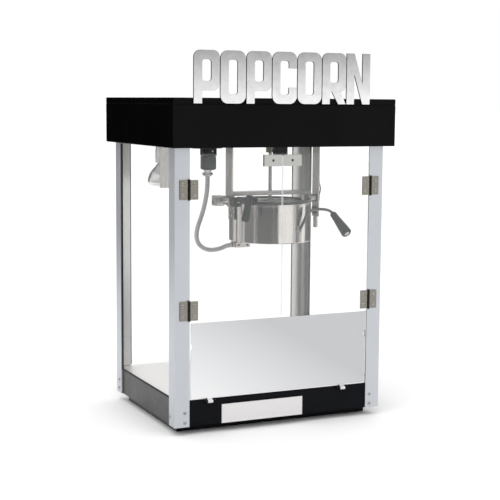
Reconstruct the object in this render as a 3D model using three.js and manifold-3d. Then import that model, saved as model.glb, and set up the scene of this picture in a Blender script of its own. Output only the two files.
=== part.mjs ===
// Tabletop popcorn machine: black base and canopy, aluminium corner posts, clear panels, two hinged
// doors over a drop-down front panel, a scrap drawer, and a tilting kettle hung from the ceiling.
// Millimetres. +X is the right-hand side seen from the front, +Y is the back, +Z is up, and the
// origin is on the table under the middle of the machine.
import * as THREE from 'three';
import { mergeVertices } from 'three/addons/utils/BufferGeometryUtils.js';
import Module from 'manifold-3d';

const wasm = await Module();
wasm.setup();

// ---------------------------------------------------------------- driving dimensions
const GAP = 0.3;                 // clearance between pieces that touch
const CABINET = { halfWidth: 210, halfDepth: 160, bottom: 16, top: 517 };
const POST = { leg: 28.5, wall: 3 };
const BASE = { top: 64, wall: 3, floor: 2 };
const PLINTH = { halfWidth: 195, halfDepth: 130, bottom: 1.5, wall: 3 };
const FOOT = { x: 181, y: 110, radius: 10, neck: 8 };
const DECK = { thickness: 2, slots: 5, slotWidth: 8, slotPitch: 25, slotFront: -120, slotBack: -50 };
const PANE = { thickness: 3.7, bottom: 66.6, top: 515, sideHalfLength: 150, rearHalfWidth: 201 };
const CANOPY = { halfWidth: 222, halfDepth: 182, top: 604, wall: 2.5 };
const CEILING = { thickness: 2, shaftHole: 8 };
const SIGN = { bottom: 594, top: 686, left: -185, pitch: 50.07, letterWidth: 49, stroke: 16, plate: 3.2 };
const SIGN_STRIP = { bottom: 595, top: 603, thickness: 1 };
const DOOR = { pinX: 183.4, pinY: -162.5, edge: 181, meeting: 0.5, bottom: 207, top: 506, thickness: 5 };
const HINGE = { height: 35, leaf: 17.5, plate: 1.6, barrel: 2.2, bore: 1.15, pin: 1, knuckles: 5 };
const HINGE_HEIGHTS = { upper: 443, lower: 227 };
const STRIKE = { inner: 0.8, outer: 38, bottom: 482, top: 503, plate: 1.5, hole: 2.4 };
const CATCH = { x: [-10, 14], y: [-152, -138], bottom: 500.5 };
const PANEL = { halfWidth: 179, bottom: 66.6, top: 204, thickness: 1.5, notchZ: 161, notchRadius: 8 };
const PANEL_TAB = {
  centres: [-142, 130],
  width: 10,
  eye: 3.4,
  bore: 1.8,
  pin: 1.5,
  pivotY: -161.5,
  pivotZ: 60,
};
const TAB_NOTCH = { halfWidth: 10, depth: 10 };
const DRAWER = { left: -118, right: 46, bottom: 16.5, top: 51.5, front: -159.5, plate: 2, wall: 1.2 };
const TRAY = { left: -112, right: 40, bottom: 19, top: 47, back: -20 };
const KETTLE = { x: 52, axisZ: 409, radius: 80, bore: 77.5, bottom: -81, rim: -5, floor: 12 };
const BRIDGE = { halfWidth: 12, thickness: 2, shaftBore: 4.5 };
const YOKE = { halfWidth: 11, inner: 80.8, thickness: 3, top: 16.5, barThickness: 8, bottom: -37 };
const LID = { radius: 79.5, hingeY: 14.2, hingeZ: -3, barrel: 1.6, halfBarrel: 45, thickness: 1.2 };
const LID_RIM = { wall: 1.6, top: -0.2, startY: 18 };
const LEVER = { left: -103, lobeRight: -85, back: -38, front: -54, bottom: -9, top: 9 };
const HANGER = { left: [-89, -85], right: [99, 103], hole: 6.5, foot: 22, footPlate: 3.5 };
const HANGER_HALF_WIDTH = { left: 14, right: 12 };
const TRUNNION = { radius: 6, collar: 9, block: 10, blockLength: 18 };
const STIRRER = { radius: 3.5, top: 90.5, tongueTop: 97, tongueHalf: 4, tongueThickness: 2 };
const COUPLING = { bottom: 91, shoulder: 106, top: 136, hub: 9, shaft: 5, slotTop: 98.5, slotWidth: 2.6 };
const LAMP = { x: -146, y: 60, face: 434, faceRadius: 31.5, neck: 13 };
const OUTLET = { x: [-92, -66], halfDepth: 11, bottom: 494.8, flangeX: [-112, -56], flangeZ: [509, 511] };
const PLUG = { x: -79, halfWidth: 12.5, halfDepth: 10.5, bottom: 468, clampRadius: 8, clampBottom: 456 };
const CORD_RADIUS = 4.75;
const SWITCH = { x: [-160, -120, -80], y: 177.5, z: 560, halfWidth: 9, halfOpening: 13.5, lean: 10 };
const INLET = { x: 150, z: 545, halfFlangeX: 24, halfFlangeZ: 14, halfBodyX: 16, halfBodyZ: 10, proud: 3.5 };

// The cord's route from the plug in the ceiling outlet down to the gland under the kettle.
const CORD_ROUTE = [
  [-80.6, 0, 455.7], [-80.8, 0, 441], [-82, 0, 425], [-85, -0.1, 409], [-89.8, -0.4, 390],
  [-95.5, -0.8, 374], [-100.2, -1.1, 362], [-103.2, -1.7, 349], [-103.2, -2.4, 337], [-98.6, -3, 326.2],
  [-88, -3.6, 318], [-74, -4.4, 314.6], [-57.5, -5.2, 316.4], [-46, -5.8, 320.4], [-39, -6, 322.3],
  [-32.2, -6, 322.7],
];

const FINISHES = {
  blackPaint: { color: 0x141416, roughness: 0.5, metalness: 0.1 },
  aluminium: { color: 0xc4c9cd, roughness: 0.4, metalness: 0.8 },
  stainless: { color: 0xb8b6b2, roughness: 0.25, metalness: 1 },
  nickel: { color: 0xa39c92, roughness: 0.35, metalness: 1 },
  rubber: { color: 0x1c1617, roughness: 0.9, metalness: 0 },
  clearPane: { color: 0xeef4f4, roughness: 0.05, metalness: 0 },
  blackPlastic: { color: 0x1a1b1b, roughness: 0.55, metalness: 0 },
  greyPlastic: { color: 0x57595a, roughness: 0.6, metalness: 0 },
  conduit: { color: 0x9b9a97, roughness: 0.45, metalness: 0.9 },
  frostedGlass: { color: 0xe9e6df, roughness: 0.35, metalness: 0 },
};

// ---------------------------------------------------------------- shape helpers
const X = new THREE.Vector3(1, 0, 0);
const Y = new THREE.Vector3(0, 1, 0);
const Z = new THREE.Vector3(0, 0, 1);

// Where an outline's own x, y and thickness go when it is extruded along each axis.
const EXTRUDED_ALONG = {
  x: new THREE.Matrix4().makeBasis(Y, Z, X),
  y: new THREE.Matrix4().makeBasis(X, Z, Y),
  z: new THREE.Matrix4().makeBasis(X, Y, Z),
};

// The closed solid that a three.js geometry encloses, with its faces turned outwards.
function solidOf(geometry) {
  const bare = new THREE.BufferGeometry();
  bare.setAttribute('position', geometry.getAttribute('position'));
  bare.setIndex(geometry.index);
  const merged = mergeVertices(bare, 1e-4);
  const points = merged.getAttribute('position');
  const [a, b, c] = [new THREE.Vector3(), new THREE.Vector3(), new THREE.Vector3()];
  const triangles = [];
  let volume = 0;
  for (let i = 0; i < merged.index.count; i += 3) {
    const corners = [0, 1, 2].map((k) => merged.index.getX(i + k));
    if (new Set(corners).size < 3) continue;
    [a, b, c].forEach((v, k) => v.fromBufferAttribute(points, corners[k]));
    volume += a.dot(b.cross(c));
    triangles.push(corners);
  }
  if (volume < 0) triangles.forEach((corners) => corners.reverse());
  return new wasm.Manifold(new wasm.Mesh({
    numProp: 3,
    vertProperties: new Float32Array(points.array),
    triVerts: new Uint32Array(triangles.flat()),
  }));
}

function part(name, solid, finish) {
  const mesh = solid.getMesh();
  const geometry = new THREE.BufferGeometry();
  geometry.setAttribute('position', new THREE.BufferAttribute(mesh.vertProperties, 3));
  geometry.setIndex(new THREE.BufferAttribute(mesh.triVerts, 1));
  const material = new THREE.MeshStandardMaterial({ ...FINISHES[finish], flatShading: true });
  const piece = new THREE.Mesh(geometry, material);
  piece.name = name;
  return piece;
}

function box(x, y, z) {
  const sides = [x, y, z].map(([from, to]) => Math.abs(to - from));
  const centre = [x, y, z].map(([from, to]) => (from + to) / 2);
  return solidOf(new THREE.BoxGeometry(...sides).translate(...centre));
}

// A round bar between two points; it tapers when an end radius is given.
function rod(from, to, radius, endRadius = radius, sides = 16) {
  const start = new THREE.Vector3(...from);
  const along = new THREE.Vector3(...to).sub(start);
  const geometry = new THREE.CylinderGeometry(endRadius, radius, along.length(), sides);
  geometry.translate(0, along.length() / 2, 0);
  geometry.applyQuaternion(new THREE.Quaternion().setFromUnitVectors(Y, along.clone().normalize()));
  return solidOf(geometry.translate(...from));
}

// A solid of revolution about Z from [radius, height] points.
function turned(profile, sides = 24, [x, y] = [0, 0]) {
  const points = profile.map(([radius, height]) => new THREE.Vector2(radius, height));
  return solidOf(new THREE.LatheGeometry(points, sides).rotateX(Math.PI / 2).translate(x, y, 0));
}

function prism(outline, axis, [from, to], curveSegments = 3) {
  const options = { depth: to - from, bevelEnabled: false, curveSegments };
  const geometry = new THREE.ExtrudeGeometry(outline, options);
  geometry.applyMatrix4(EXTRUDED_ALONG[axis]);
  const shift = { x: X, y: Y, z: Z }[axis].clone().multiplyScalar(from);
  return solidOf(geometry.translate(shift.x, shift.y, shift.z));
}

function outlineOf(points) {
  return new THREE.Shape(points.map(([u, v]) => new THREE.Vector2(u, v)));
}

function roundedOutline([left, right], [bottom, top], radius, shape = new THREE.Shape()) {
  shape.absarc(right - radius, top - radius, radius, 0, Math.PI / 2);
  shape.absarc(left + radius, top - radius, radius, Math.PI / 2, Math.PI);
  shape.absarc(left + radius, bottom + radius, radius, Math.PI, 1.5 * Math.PI);
  shape.absarc(right - radius, bottom + radius, radius, 1.5 * Math.PI, 2 * Math.PI);
  shape.closePath();
  return shape;
}

// A round bar bent along a smooth curve through the points.
function bentRod(points, radius, steps, sides = 10) {
  const section = new THREE.Shape().absarc(0, 0, radius, 0, 2 * Math.PI);
  const curve = new THREE.CatmullRomCurve3(points.map((p) => new THREE.Vector3(...p)));
  const options = { extrudePath: curve, steps, curveSegments: sides / 2, bevelEnabled: false };
  return solidOf(new THREE.ExtrudeGeometry(section, options));
}

function mirrored([from, to], side) {
  return side > 0 ? [from, to] : [-to, -from];
}

function groupAt(x, y, z, ...pieces) {
  const group = new THREE.Group();
  group.position.set(x, y, z);
  group.add(...pieces);
  return group;
}

// ---------------------------------------------------------------- base, drawer and deck
const baseHalfWidth = CABINET.halfWidth - POST.wall - GAP;
const baseHalfDepth = CABINET.halfDepth - POST.wall - GAP;

// A pressed pan inside the post corners, on a set-back skirt. Its front has the drawer's mouth, and
// two rounded notches with the pins that the front panel's tabs turn on.
function basePan() {
  const inset = BASE.wall;
  const openTop = [CABINET.bottom + BASE.floor, BASE.top + 1];
  const across = [-baseHalfWidth, baseHalfWidth];
  let pan = box(across, [-baseHalfDepth, baseHalfDepth], [CABINET.bottom, BASE.top]);
  pan = pan.subtract(box(
    [-baseHalfWidth + inset, baseHalfWidth - inset],
    [-baseHalfDepth + inset, baseHalfDepth - inset],
    openTop,
  ));
  const skirt = box(
    [-PLINTH.halfWidth, PLINTH.halfWidth],
    [-PLINTH.halfDepth, PLINTH.halfDepth],
    [PLINTH.bottom, CABINET.bottom + 1],
  ).subtract(box(
    [-PLINTH.halfWidth + PLINTH.wall, PLINTH.halfWidth - PLINTH.wall],
    [-PLINTH.halfDepth + PLINTH.wall, PLINTH.halfDepth - PLINTH.wall],
    [PLINTH.bottom - 1, CABINET.bottom + 1.5],
  ));
  pan = pan.add(skirt);
  const mouth = [TRAY.left - 2, TRAY.right + 2];
  const throughFront = [-baseHalfDepth - 1, -baseHalfDepth + inset + 1];
  pan = pan.subtract(box(mouth, throughFront, [CABINET.bottom + BASE.floor, TRAY.top + 2.5]));
  return PANEL_TAB.centres.reduce(addPanelPivot, pan);
}

function addPanelPivot(pan, x) {
  const { halfWidth, depth } = TAB_NOTCH;
  const { pin, pivotY, pivotZ } = PANEL_TAB;
  const notch = roundedOutline([x - halfWidth, x + halfWidth], [BASE.top - depth, BASE.top + 12], 6);
  let pivoted = pan.subtract(prism(notch, 'y', [-baseHalfDepth - 1, -baseHalfDepth + BASE.wall + 1]));
  for (const side of [-1, 1]) {
    const ear = [x + side * (halfWidth + 1), x + side * (halfWidth - 2)];
    const forward = [pivotY - 1.8, -baseHalfDepth + BASE.wall];
    pivoted = pivoted.add(box(ear, forward, [pivotZ - 2.4, pivotZ + 2.4]));
  }
  return pivoted.add(rod([x - halfWidth, pivotY, pivotZ], [x + halfWidth, pivotY, pivotZ], pin, pin, 12));
}

function foot() {
  const { radius, neck } = FOOT;
  const top = CABINET.bottom - GAP;
  return turned([[0, 0], [radius - 1, 0], [radius, 1.5], [neck, 6], [neck, top], [0, top]], 16);
}

// The popping-chamber floor, with slots that drop unpopped corn into the drawer.
function deckPlate() {
  const bottom = BASE.top + GAP;
  const top = bottom + DECK.thickness;
  const middle = (DRAWER.left + DRAWER.right) / 2;
  let deck = box([-baseHalfWidth, baseHalfWidth], [-baseHalfDepth, baseHalfDepth], [bottom, top]);
  for (let i = 0; i < DECK.slots; i += 1) {
    const x = middle + (i - (DECK.slots - 1) / 2) * DECK.slotPitch;
    const slot = [x - DECK.slotWidth / 2, x + DECK.slotWidth / 2];
    deck = deck.subtract(box(slot, [DECK.slotFront, DECK.slotBack], [bottom - 1, top + 1]));
  }
  return deck;
}

function drawerTray() {
  const { wall, front, plate } = DRAWER;
  const facePlate = box([DRAWER.left, DRAWER.right], [front, front + plate], [DRAWER.bottom, DRAWER.top]);
  const body = box([TRAY.left, TRAY.right], [front + plate / 2, TRAY.back], [TRAY.bottom, TRAY.top]);
  const hollow = box(
    [TRAY.left + wall, TRAY.right - wall],
    [front + plate, TRAY.back - wall],
    [TRAY.bottom + wall, TRAY.top + 1],
  );
  return facePlate.add(body.subtract(hollow));
}

// ---------------------------------------------------------------- posts, panes and canopy
function post() {
  const { leg, wall } = POST;
  const corner = outlineOf([[0, 0], [leg, 0], [leg, wall], [wall, wall], [wall, leg], [0, leg]]);
  return prism(corner, 'z', [CABINET.bottom, CABINET.top]);
}

function posts() {
  const corners = [
    ['front_left_post', -1, -1, 0],
    ['front_right_post', 1, -1, Math.PI / 2],
    ['rear_right_post', 1, 1, Math.PI],
    ['rear_left_post', -1, 1, -Math.PI / 2],
  ];
  return corners.map(([name, sideX, sideY, turn]) => {
    const piece = part(name, post(), 'aluminium');
    piece.position.set(sideX * CABINET.halfWidth, sideY * CABINET.halfDepth, 0);
    piece.rotation.z = turn;
    return piece;
  });
}

function feet() {
  const corners = [
    ['front_left', -1, -1],
    ['front_right', 1, -1],
    ['rear_left', -1, 1],
    ['rear_right', 1, 1],
  ];
  return corners.map(([name, sideX, sideY]) => {
    const piece = part(`${name}_foot`, foot(), 'rubber');
    piece.position.set(sideX * FOOT.x, sideY * FOOT.y, 0);
    return piece;
  });
}

function sidePane(side) {
  const outer = CABINET.halfWidth - POST.wall - GAP;
  const across = mirrored([outer - PANE.thickness, outer], side);
  return box(across, [-PANE.sideHalfLength, PANE.sideHalfLength], [PANE.bottom, PANE.top]);
}

function rearPane() {
  const outer = CABINET.halfDepth - POST.wall - GAP;
  const across = [-PANE.rearHalfWidth, PANE.rearHalfWidth];
  return box(across, [outer - PANE.thickness, outer], [PANE.bottom, PANE.top]);
}

// A box open below, with cut-outs in its back for the switches and the power inlet.
function canopyShell() {
  const { halfWidth, halfDepth, top, wall } = CANOPY;
  let shell = box([-halfWidth, halfWidth], [-halfDepth, halfDepth], [CABINET.top, top]);
  shell = shell.subtract(box(
    [-halfWidth + wall, halfWidth - wall],
    [-halfDepth + wall, halfDepth - wall],
    [CABINET.top - 1, top - wall],
  ));
  const throughBack = [halfDepth - wall - 1, halfDepth + 1];
  for (const x of SWITCH.x) {
    const across = [x - SWITCH.halfWidth - 0.8, x + SWITCH.halfWidth + 0.8];
    const upright = [SWITCH.z - SWITCH.halfOpening, SWITCH.z + SWITCH.halfOpening];
    shell = shell.subtract(box(across, throughBack, upright));
  }
  const inletX = [INLET.x - INLET.halfBodyX - GAP, INLET.x + INLET.halfBodyX + GAP];
  const inletZ = [INLET.z - INLET.halfBodyZ - GAP, INLET.z + INLET.halfBodyZ + GAP];
  return shell.subtract(box(inletX, throughBack, inletZ));
}

const ceilingBottom = CABINET.top + GAP;

function ceilingPlate() {
  const halfWidth = CANOPY.halfWidth - CANOPY.wall - GAP;
  const halfDepth = CANOPY.halfDepth - CANOPY.wall - GAP;
  const top = ceilingBottom + CEILING.thickness;
  const plate = box([-halfWidth, halfWidth], [-halfDepth, halfDepth], [ceilingBottom, top]);
  return plate.subtract(rod([KETTLE.x, 0, ceilingBottom - 1], [KETTLE.x, 0, top + 1], CEILING.shaftHole));
}

// A rocker at rest leans to off; its V-shaped face turns past the canopy's back.
function rocker() {
  const face = outlineOf([[-7, -9], [5, -11.5], [3.5, 0], [5, 11.5], [-7, 9]]);
  return prism(face, 'x', [-SWITCH.halfWidth, SWITCH.halfWidth]);
}

function rockers() {
  return SWITCH.x.map((x, i) => {
    const piece = part(`rocker_switch_${i + 1}`, rocker(), 'blackPlastic');
    piece.position.set(x, SWITCH.y, SWITCH.z);
    piece.rotation.x = -SWITCH.lean * Math.PI / 180;
    return piece;
  });
}

function powerInlet() {
  const { x, z, halfFlangeX, halfFlangeZ, halfBodyX, halfBodyZ, proud } = INLET;
  const back = CANOPY.halfDepth + GAP;
  const front = CANOPY.halfDepth + proud;
  const flange = box([x - halfFlangeX, x + halfFlangeX], [back, front], [z - halfFlangeZ, z + halfFlangeZ]);
  const body = box([x - halfBodyX, x + halfBodyX], [back - 24, front], [z - halfBodyZ, z + halfBodyZ]);
  const recess = box(
    [x - halfBodyX + 4, x + halfBodyX - 4],
    [back - 18, front + 1],
    [z - halfBodyZ + 3, z + halfBodyZ - 3],
  );
  return flange.add(body).subtract(recess);
}

// ---------------------------------------------------------------- sign
// Plain one-weight capitals, each in a cell from 0 to the letter width and from 0 to the sign height.
const letterHeight = SIGN.top - SIGN.bottom;
const bowlBottom = 0.42 * letterHeight;

function letterCounter(bottom, top) {
  const { letterWidth, stroke } = SIGN;
  return roundedOutline([stroke, letterWidth - stroke], [bottom, top], 5, new THREE.Path());
}

function letterO() {
  const outline = roundedOutline([0, SIGN.letterWidth], [0, letterHeight], 14);
  outline.holes.push(letterCounter(SIGN.stroke, letterHeight - SIGN.stroke));
  return [outline];
}

function letterP() {
  const { letterWidth, stroke } = SIGN;
  const bowl = roundedOutline([0, letterWidth], [bowlBottom - stroke, letterHeight], 12);
  bowl.holes.push(letterCounter(bowlBottom, letterHeight - stroke));
  const stemTop = letterHeight - 12;
  return [bowl, outlineOf([[0, 0], [stroke, 0], [stroke, stemTop], [0, stemTop]])];
}

function letterR() {
  const { letterWidth, stroke } = SIGN;
  const legTop = bowlBottom - 8;
  const leg = [[14, legTop], [letterWidth - stroke, 0], [letterWidth, 0], [14 + stroke, legTop]];
  return [...letterP(), outlineOf(leg)];
}

function letterN() {
  const { letterWidth, stroke } = SIGN;
  const stem = (x) => outlineOf([[x, 0], [x + stroke, 0], [x + stroke, letterHeight], [x, letterHeight]]);
  const slope = [[0, letterHeight], [letterWidth - stroke, 0], [letterWidth, 0], [stroke, letterHeight]];
  return [stem(0), stem(letterWidth - stroke), outlineOf(slope)];
}

function letterSolid(outlines) {
  const plates = outlines.map((outline) => prism(outline, 'y', [0, SIGN.plate]));
  return plates.reduce((all, next) => all.add(next));
}

function placed(solid, x, y, z) {
  const mesh = solid.getMesh();
  const geometry = new THREE.BufferGeometry();
  geometry.setAttribute('position', new THREE.BufferAttribute(mesh.vertProperties, 3));
  geometry.setIndex(new THREE.BufferAttribute(mesh.triVerts, 1));
  return solidOf(geometry.translate(x, y, z));
}

// The letter C is an O with its right side opened.
function letterC() {
  const middle = letterHeight / 2;
  const opening = box(
    [SIGN.letterWidth - SIGN.stroke - 1, SIGN.letterWidth + 1],
    [-1, SIGN.plate + 1],
    [middle - 17, middle + 17],
  );
  return letterSolid(letterO()).subtract(opening);
}

function signLetters() {
  const back = -CANOPY.halfDepth - GAP;
  const word = [letterP, letterO, letterP, letterC, letterO, letterR, letterN];
  const right = SIGN.left + (word.length - 1) * SIGN.pitch + SIGN.letterWidth;
  const stripFront = back - SIGN_STRIP.thickness;
  const strip = box([SIGN.left, right], [stripFront, back], [SIGN_STRIP.bottom, SIGN_STRIP.top]);
  return word.reduce((sign, letter, i) => {
    const solid = letter === letterC ? letterC() : letterSolid(letter());
    return sign.add(placed(solid, SIGN.left + i * SIGN.pitch, back - SIGN.plate, SIGN.bottom));
  }, strip);
}

// ---------------------------------------------------------------- doors and front panel
// One leaf of a butt hinge about its own pin, which is at x = y = 0; the leaf lies towards `side`.
function hingeLeaf(side, ownKnuckles) {
  const { height, leaf, plate, barrel, bore, knuckles } = HINGE;
  const sheet = [barrel - plate, barrel];
  const reach = barrel + 0.4;
  const bottom = -height / 2;
  let solid = box(mirrored([reach, leaf], side), sheet, [bottom, -bottom]);
  for (const i of ownKnuckles) {
    const from = bottom + (i * height) / knuckles + GAP / 2;
    const to = bottom + ((i + 1) * height) / knuckles - GAP / 2;
    solid = solid.add(box(mirrored([0, reach + 0.2], side), sheet, [from, to]));
    solid = solid.add(rod([0, 0, from], [0, 0, to], barrel, barrel, 12));
  }
  return solid.subtract(rod([0, 0, bottom - 1], [0, 0, -bottom + 1], bore, bore, 12));
}

function hingePin() {
  const { height, pin } = HINGE;
  const headInside = height / 2 + GAP;
  let solid = rod([0, 0, -headInside - 1], [0, 0, headInside + 1], pin, pin, 12);
  for (const side of [-1, 1]) {
    const head = [0, 0, side * (headInside + 1)];
    solid = solid.add(rod([0, 0, side * headInside], head, 2 * pin, 2 * pin, 12));
  }
  return solid;
}

// The two hinges of one door, the fixed leaves and pins that stay with the post.
function fixedHingeParts(name, side) {
  return Object.entries(HINGE_HEIGHTS).map(([level, z]) => groupAt(
    side * DOOR.pinX, DOOR.pinY, z,
    part(`${name}_${level}_post_leaf`, hingeLeaf(side, [0, 2, 4]), 'nickel'),
    part(`${name}_${level}_hinge_pin`, hingePin(), 'nickel'),
  ));
}

// A clear door about its hinge line, with its strike plate at the meeting edge.
function door(name, side) {
  const { pinX, edge, meeting, thickness, bottom, top } = DOOR;
  const face = -CABINET.halfDepth - DOOR.pinY;
  const across = (from, to) => mirrored([from - pinX, to - pinX], side);
  const pane = box(across(meeting, edge), [face, face + thickness], [bottom, top]);
  const plateDepth = [face - GAP - STRIKE.plate, face - GAP];
  const middle = (STRIKE.inner + STRIKE.outer) / 2;
  const level = (STRIKE.bottom + STRIKE.top) / 2;
  const [holeX] = across(middle, middle);
  const hole = rod([holeX, plateDepth[0] - 1, level], [holeX, face, level], STRIKE.hole, STRIKE.hole, 12);
  const plateAcross = across(STRIKE.inner, STRIKE.outer);
  const plate = box(plateAcross, plateDepth, [STRIKE.bottom, STRIKE.top]).subtract(hole);
  const leaves = Object.entries(HINGE_HEIGHTS).map(([height, z]) => {
    const leaf = part(`${name}_${height}_door_leaf`, hingeLeaf(-side, [1, 3]), 'nickel');
    leaf.position.z = z;
    return leaf;
  });
  return groupAt(
    side * pinX, DOOR.pinY, 0,
    part(`${name}_door_glass`, pane, 'clearPane'),
    part(`${name}_strike_plate`, plate, 'stainless'),
    ...leaves,
  );
}

function magneticCatch() {
  return box(CATCH.x, CATCH.y, [CATCH.bottom, CABINET.top]);
}

// The drop-down front panel: a sheet with a finger notch in each side and two hooked tabs below.
function dropPanel() {
  const { halfWidth, bottom, top, thickness, notchZ, notchRadius } = PANEL;
  const { width, eye, bore, pivotY, pivotZ } = PANEL_TAB;
  const face = -CABINET.halfDepth;
  const sheet = [face, face + thickness];
  const notchCentre = halfWidth + notchRadius - 3.5;
  let panel = box([-halfWidth, halfWidth], sheet, [bottom, top]);
  for (const side of [-1, 1]) {
    const x = side * notchCentre;
    const notchEnd = [x, face + thickness + 1, notchZ];
    panel = panel.subtract(rod([x, face - 1, notchZ], notchEnd, notchRadius, notchRadius, 24));
  }
  for (const centre of PANEL_TAB.centres) {
    const tab = [centre - width / 2, centre + width / 2];
    panel = panel.add(box(tab, sheet, [pivotZ, bottom + 1]));
    panel = panel.add(rod([tab[0], pivotY, pivotZ], [tab[1], pivotY, pivotZ], eye));
    panel = panel.subtract(rod([tab[0] - 1, pivotY, pivotZ], [tab[1] + 1, pivotY, pivotZ], bore, bore, 12));
  }
  return panel;
}

// ---------------------------------------------------------------- kettle, about its trunnion axis
function kettleDrum() {
  const { radius, bore, bottom, rim, floor } = KETTLE;
  const inside = bottom + floor;
  const drum = turned([
    [0, bottom], [radius - 2, bottom], [radius, bottom + 2], [radius, rim],
    [bore, rim], [bore, inside + 3], [bore - 3, inside], [0, inside],
  ], 40);
  const { halfWidth, thickness } = BRIDGE;
  const bridge = box([-bore - 1, bore + 1], [-halfWidth, halfWidth], [rim - thickness, rim]);
  const shaftWay = rod([0, 0, rim - BRIDGE.thickness - 1], [0, 0, rim + 1], BRIDGE.shaftBore);
  return drum.add(bridge.subtract(shaftWay));
}

// A strap over the drum whose ends run down its sides; the trunnions stand on those ends.
function kettleYoke() {
  const { halfWidth, inner, thickness, top, barThickness, bottom } = YOKE;
  const outer = inner + thickness;
  let yoke = box([-outer, outer], [-halfWidth, halfWidth], [top - barThickness, top]);
  for (const side of [-1, 1]) {
    yoke = yoke.add(box(mirrored([inner, outer], side), [-halfWidth, halfWidth], [bottom, top - 1]));
  }
  return yoke.subtract(rod([0, 0, top - barThickness - 1], [0, 0, top + 1], BRIDGE.shaftBore));
}

function leftTrunnion() {
  const start = -(YOKE.inner + YOKE.thickness + GAP);
  const collar = HANGER.left[0] - GAP;
  const end = HANGER.left[0] - 13;
  const { radius, block, blockLength } = TRUNNION;
  return rod([start, 0, 0], [end, 0, 0], radius)
    .add(rod([collar, 0, 0], [end, 0, 0], TRUNNION.collar))
    .add(box([end, end - blockLength], [-block, block], [-block, block]));
}

function rightTrunnion() {
  const start = YOKE.inner + YOKE.thickness + GAP;
  const [near, far] = HANGER.right;
  return rod([start, 0, 0], [near - GAP, 0, 0], TRUNNION.collar - 1)
    .add(rod([start, 0, 0], [far + 4, 0, 0], TRUNNION.radius))
    .add(rod([far + GAP, 0, 0], [far + 4, 0, 0], TRUNNION.collar - 1));
}

const handleRoute = [
  [26.4, -79.6, -52], [33, -80.6, -39], [41, -81, -23], [49, -80.8, -17.5],
  [60, -80.5, -15.6], [74, -80.5, -15.8], [83, -81, -17.3], [89, -82.6, -19.6], [92.3, -85.8, -23],
];
const gripStart = [92.7, -87.1, -24.2];
const gripEnd = [102, -128, -59.5];

// A box under the drum's left side for the heater's wiring, with the gland that the cord comes into.
function terminalCover() {
  const top = KETTLE.bottom - GAP;
  const left = -78;
  const glandX = CORD_ROUTE.at(-1)[0] - KETTLE.x + 0.7;
  const glandY = CORD_ROUTE.at(-1)[1];
  const glandZ = CORD_ROUTE.at(-1)[2] - KETTLE.axisZ;
  return box([left, -48], [-13, 13], [top - 10, top])
    .add(rod([left + 1, glandY, glandZ], [glandX, glandY, glandZ], 5, 5, 12));
}

// The part of a disc's ring or face on one side of the yoke, from startY out to the radius.
function halfDisc(side, radius, startY, innerRadius = 0) {
  const start = Math.asin(startY / radius);
  const from = side > 0 ? start : Math.PI + start;
  const to = side > 0 ? Math.PI - start : 2 * Math.PI - start;
  const outline = new THREE.Shape();
  outline.absarc(0, 0, radius, from, to);
  if (innerRadius) outline.absarc(0, 0, innerRadius, to, from, true);
  outline.closePath();
  return outline;
}

// Half of the lid, a pressed sheet with a turned-up rim, and its hinge barrel beside the yoke.
function halfLid(side) {
  const { radius, hingeY, hingeZ, barrel, halfBarrel, thickness } = LID;
  const bottom = hingeZ - barrel;
  const sheet = prism(halfDisc(side, radius, hingeY), 'z', [bottom, bottom + thickness], 12);
  const rimOutline = halfDisc(side, radius, LID_RIM.startY, radius - LID_RIM.wall);
  const rim = prism(rimOutline, 'z', [bottom, LID_RIM.top], 12);
  const y = side * hingeY;
  return sheet.add(rim).add(rod([-halfBarrel, y, hingeZ], [halfBarrel, y, hingeZ], barrel, barrel, 12));
}

// A black lever on the front lid: a foot inside the rim, an arm over it, a lobe beside the drum, and
// a grip that hangs from the arm's front end.
function lidHandle() {
  const { left, lobeRight, back, front, bottom, top } = LEVER;
  const seat = LID.hingeZ - LID.barrel + LID.thickness + GAP;
  const overRim = LID_RIM.top + GAP;
  const gripHead = [-91.5, -105, 17];
  const gripFoot = [-101.5, -105, -31.5];
  return box([-59, -50], [front + 4, back], [seat, top])
    .add(box([left, -50], [front + 2, back], [overRim, top]))
    .add(box([left, lobeRight], [front, back], [bottom, top]))
    .add(box([gripHead[0] - 4, gripHead[0] + 4], [gripHead[1], front + 1], [overRim + 1, overRim + 11]))
    .add(rod(gripHead, gripFoot, 6.5, 7.5));
}

function stirrer() {
  const floor = KETTLE.bottom + KETTLE.floor;
  const { radius, top, tongueTop, tongueHalf, tongueThickness } = STIRRER;
  return rod([0, 0, floor + 0.6], [0, 0, top], radius)
    .add(box([-tongueThickness / 2, tongueThickness / 2], [-tongueHalf, tongueHalf], [top - 2, tongueTop])
      .intersect(rod([0, 0, top - 3], [0, 0, tongueTop + 1], radius + 1)))
    .add(box([-62, 62], [-4, 4], [floor + 3, floor + 7]))
    .add(box([-62, -56], [-4, 4], [floor + 3, floor + 18]));
}

function driveCoupling() {
  const { bottom, shoulder, top, hub, shaft, slotTop, slotWidth } = COUPLING;
  return rod([0, 0, bottom], [0, 0, shoulder], hub)
    .add(rod([0, 0, bottom + 1], [0, 0, top], shaft))
    .subtract(box([-slotWidth / 2, slotWidth / 2], [-hub - 1, hub + 1], [bottom - 1, slotTop]));
}

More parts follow.
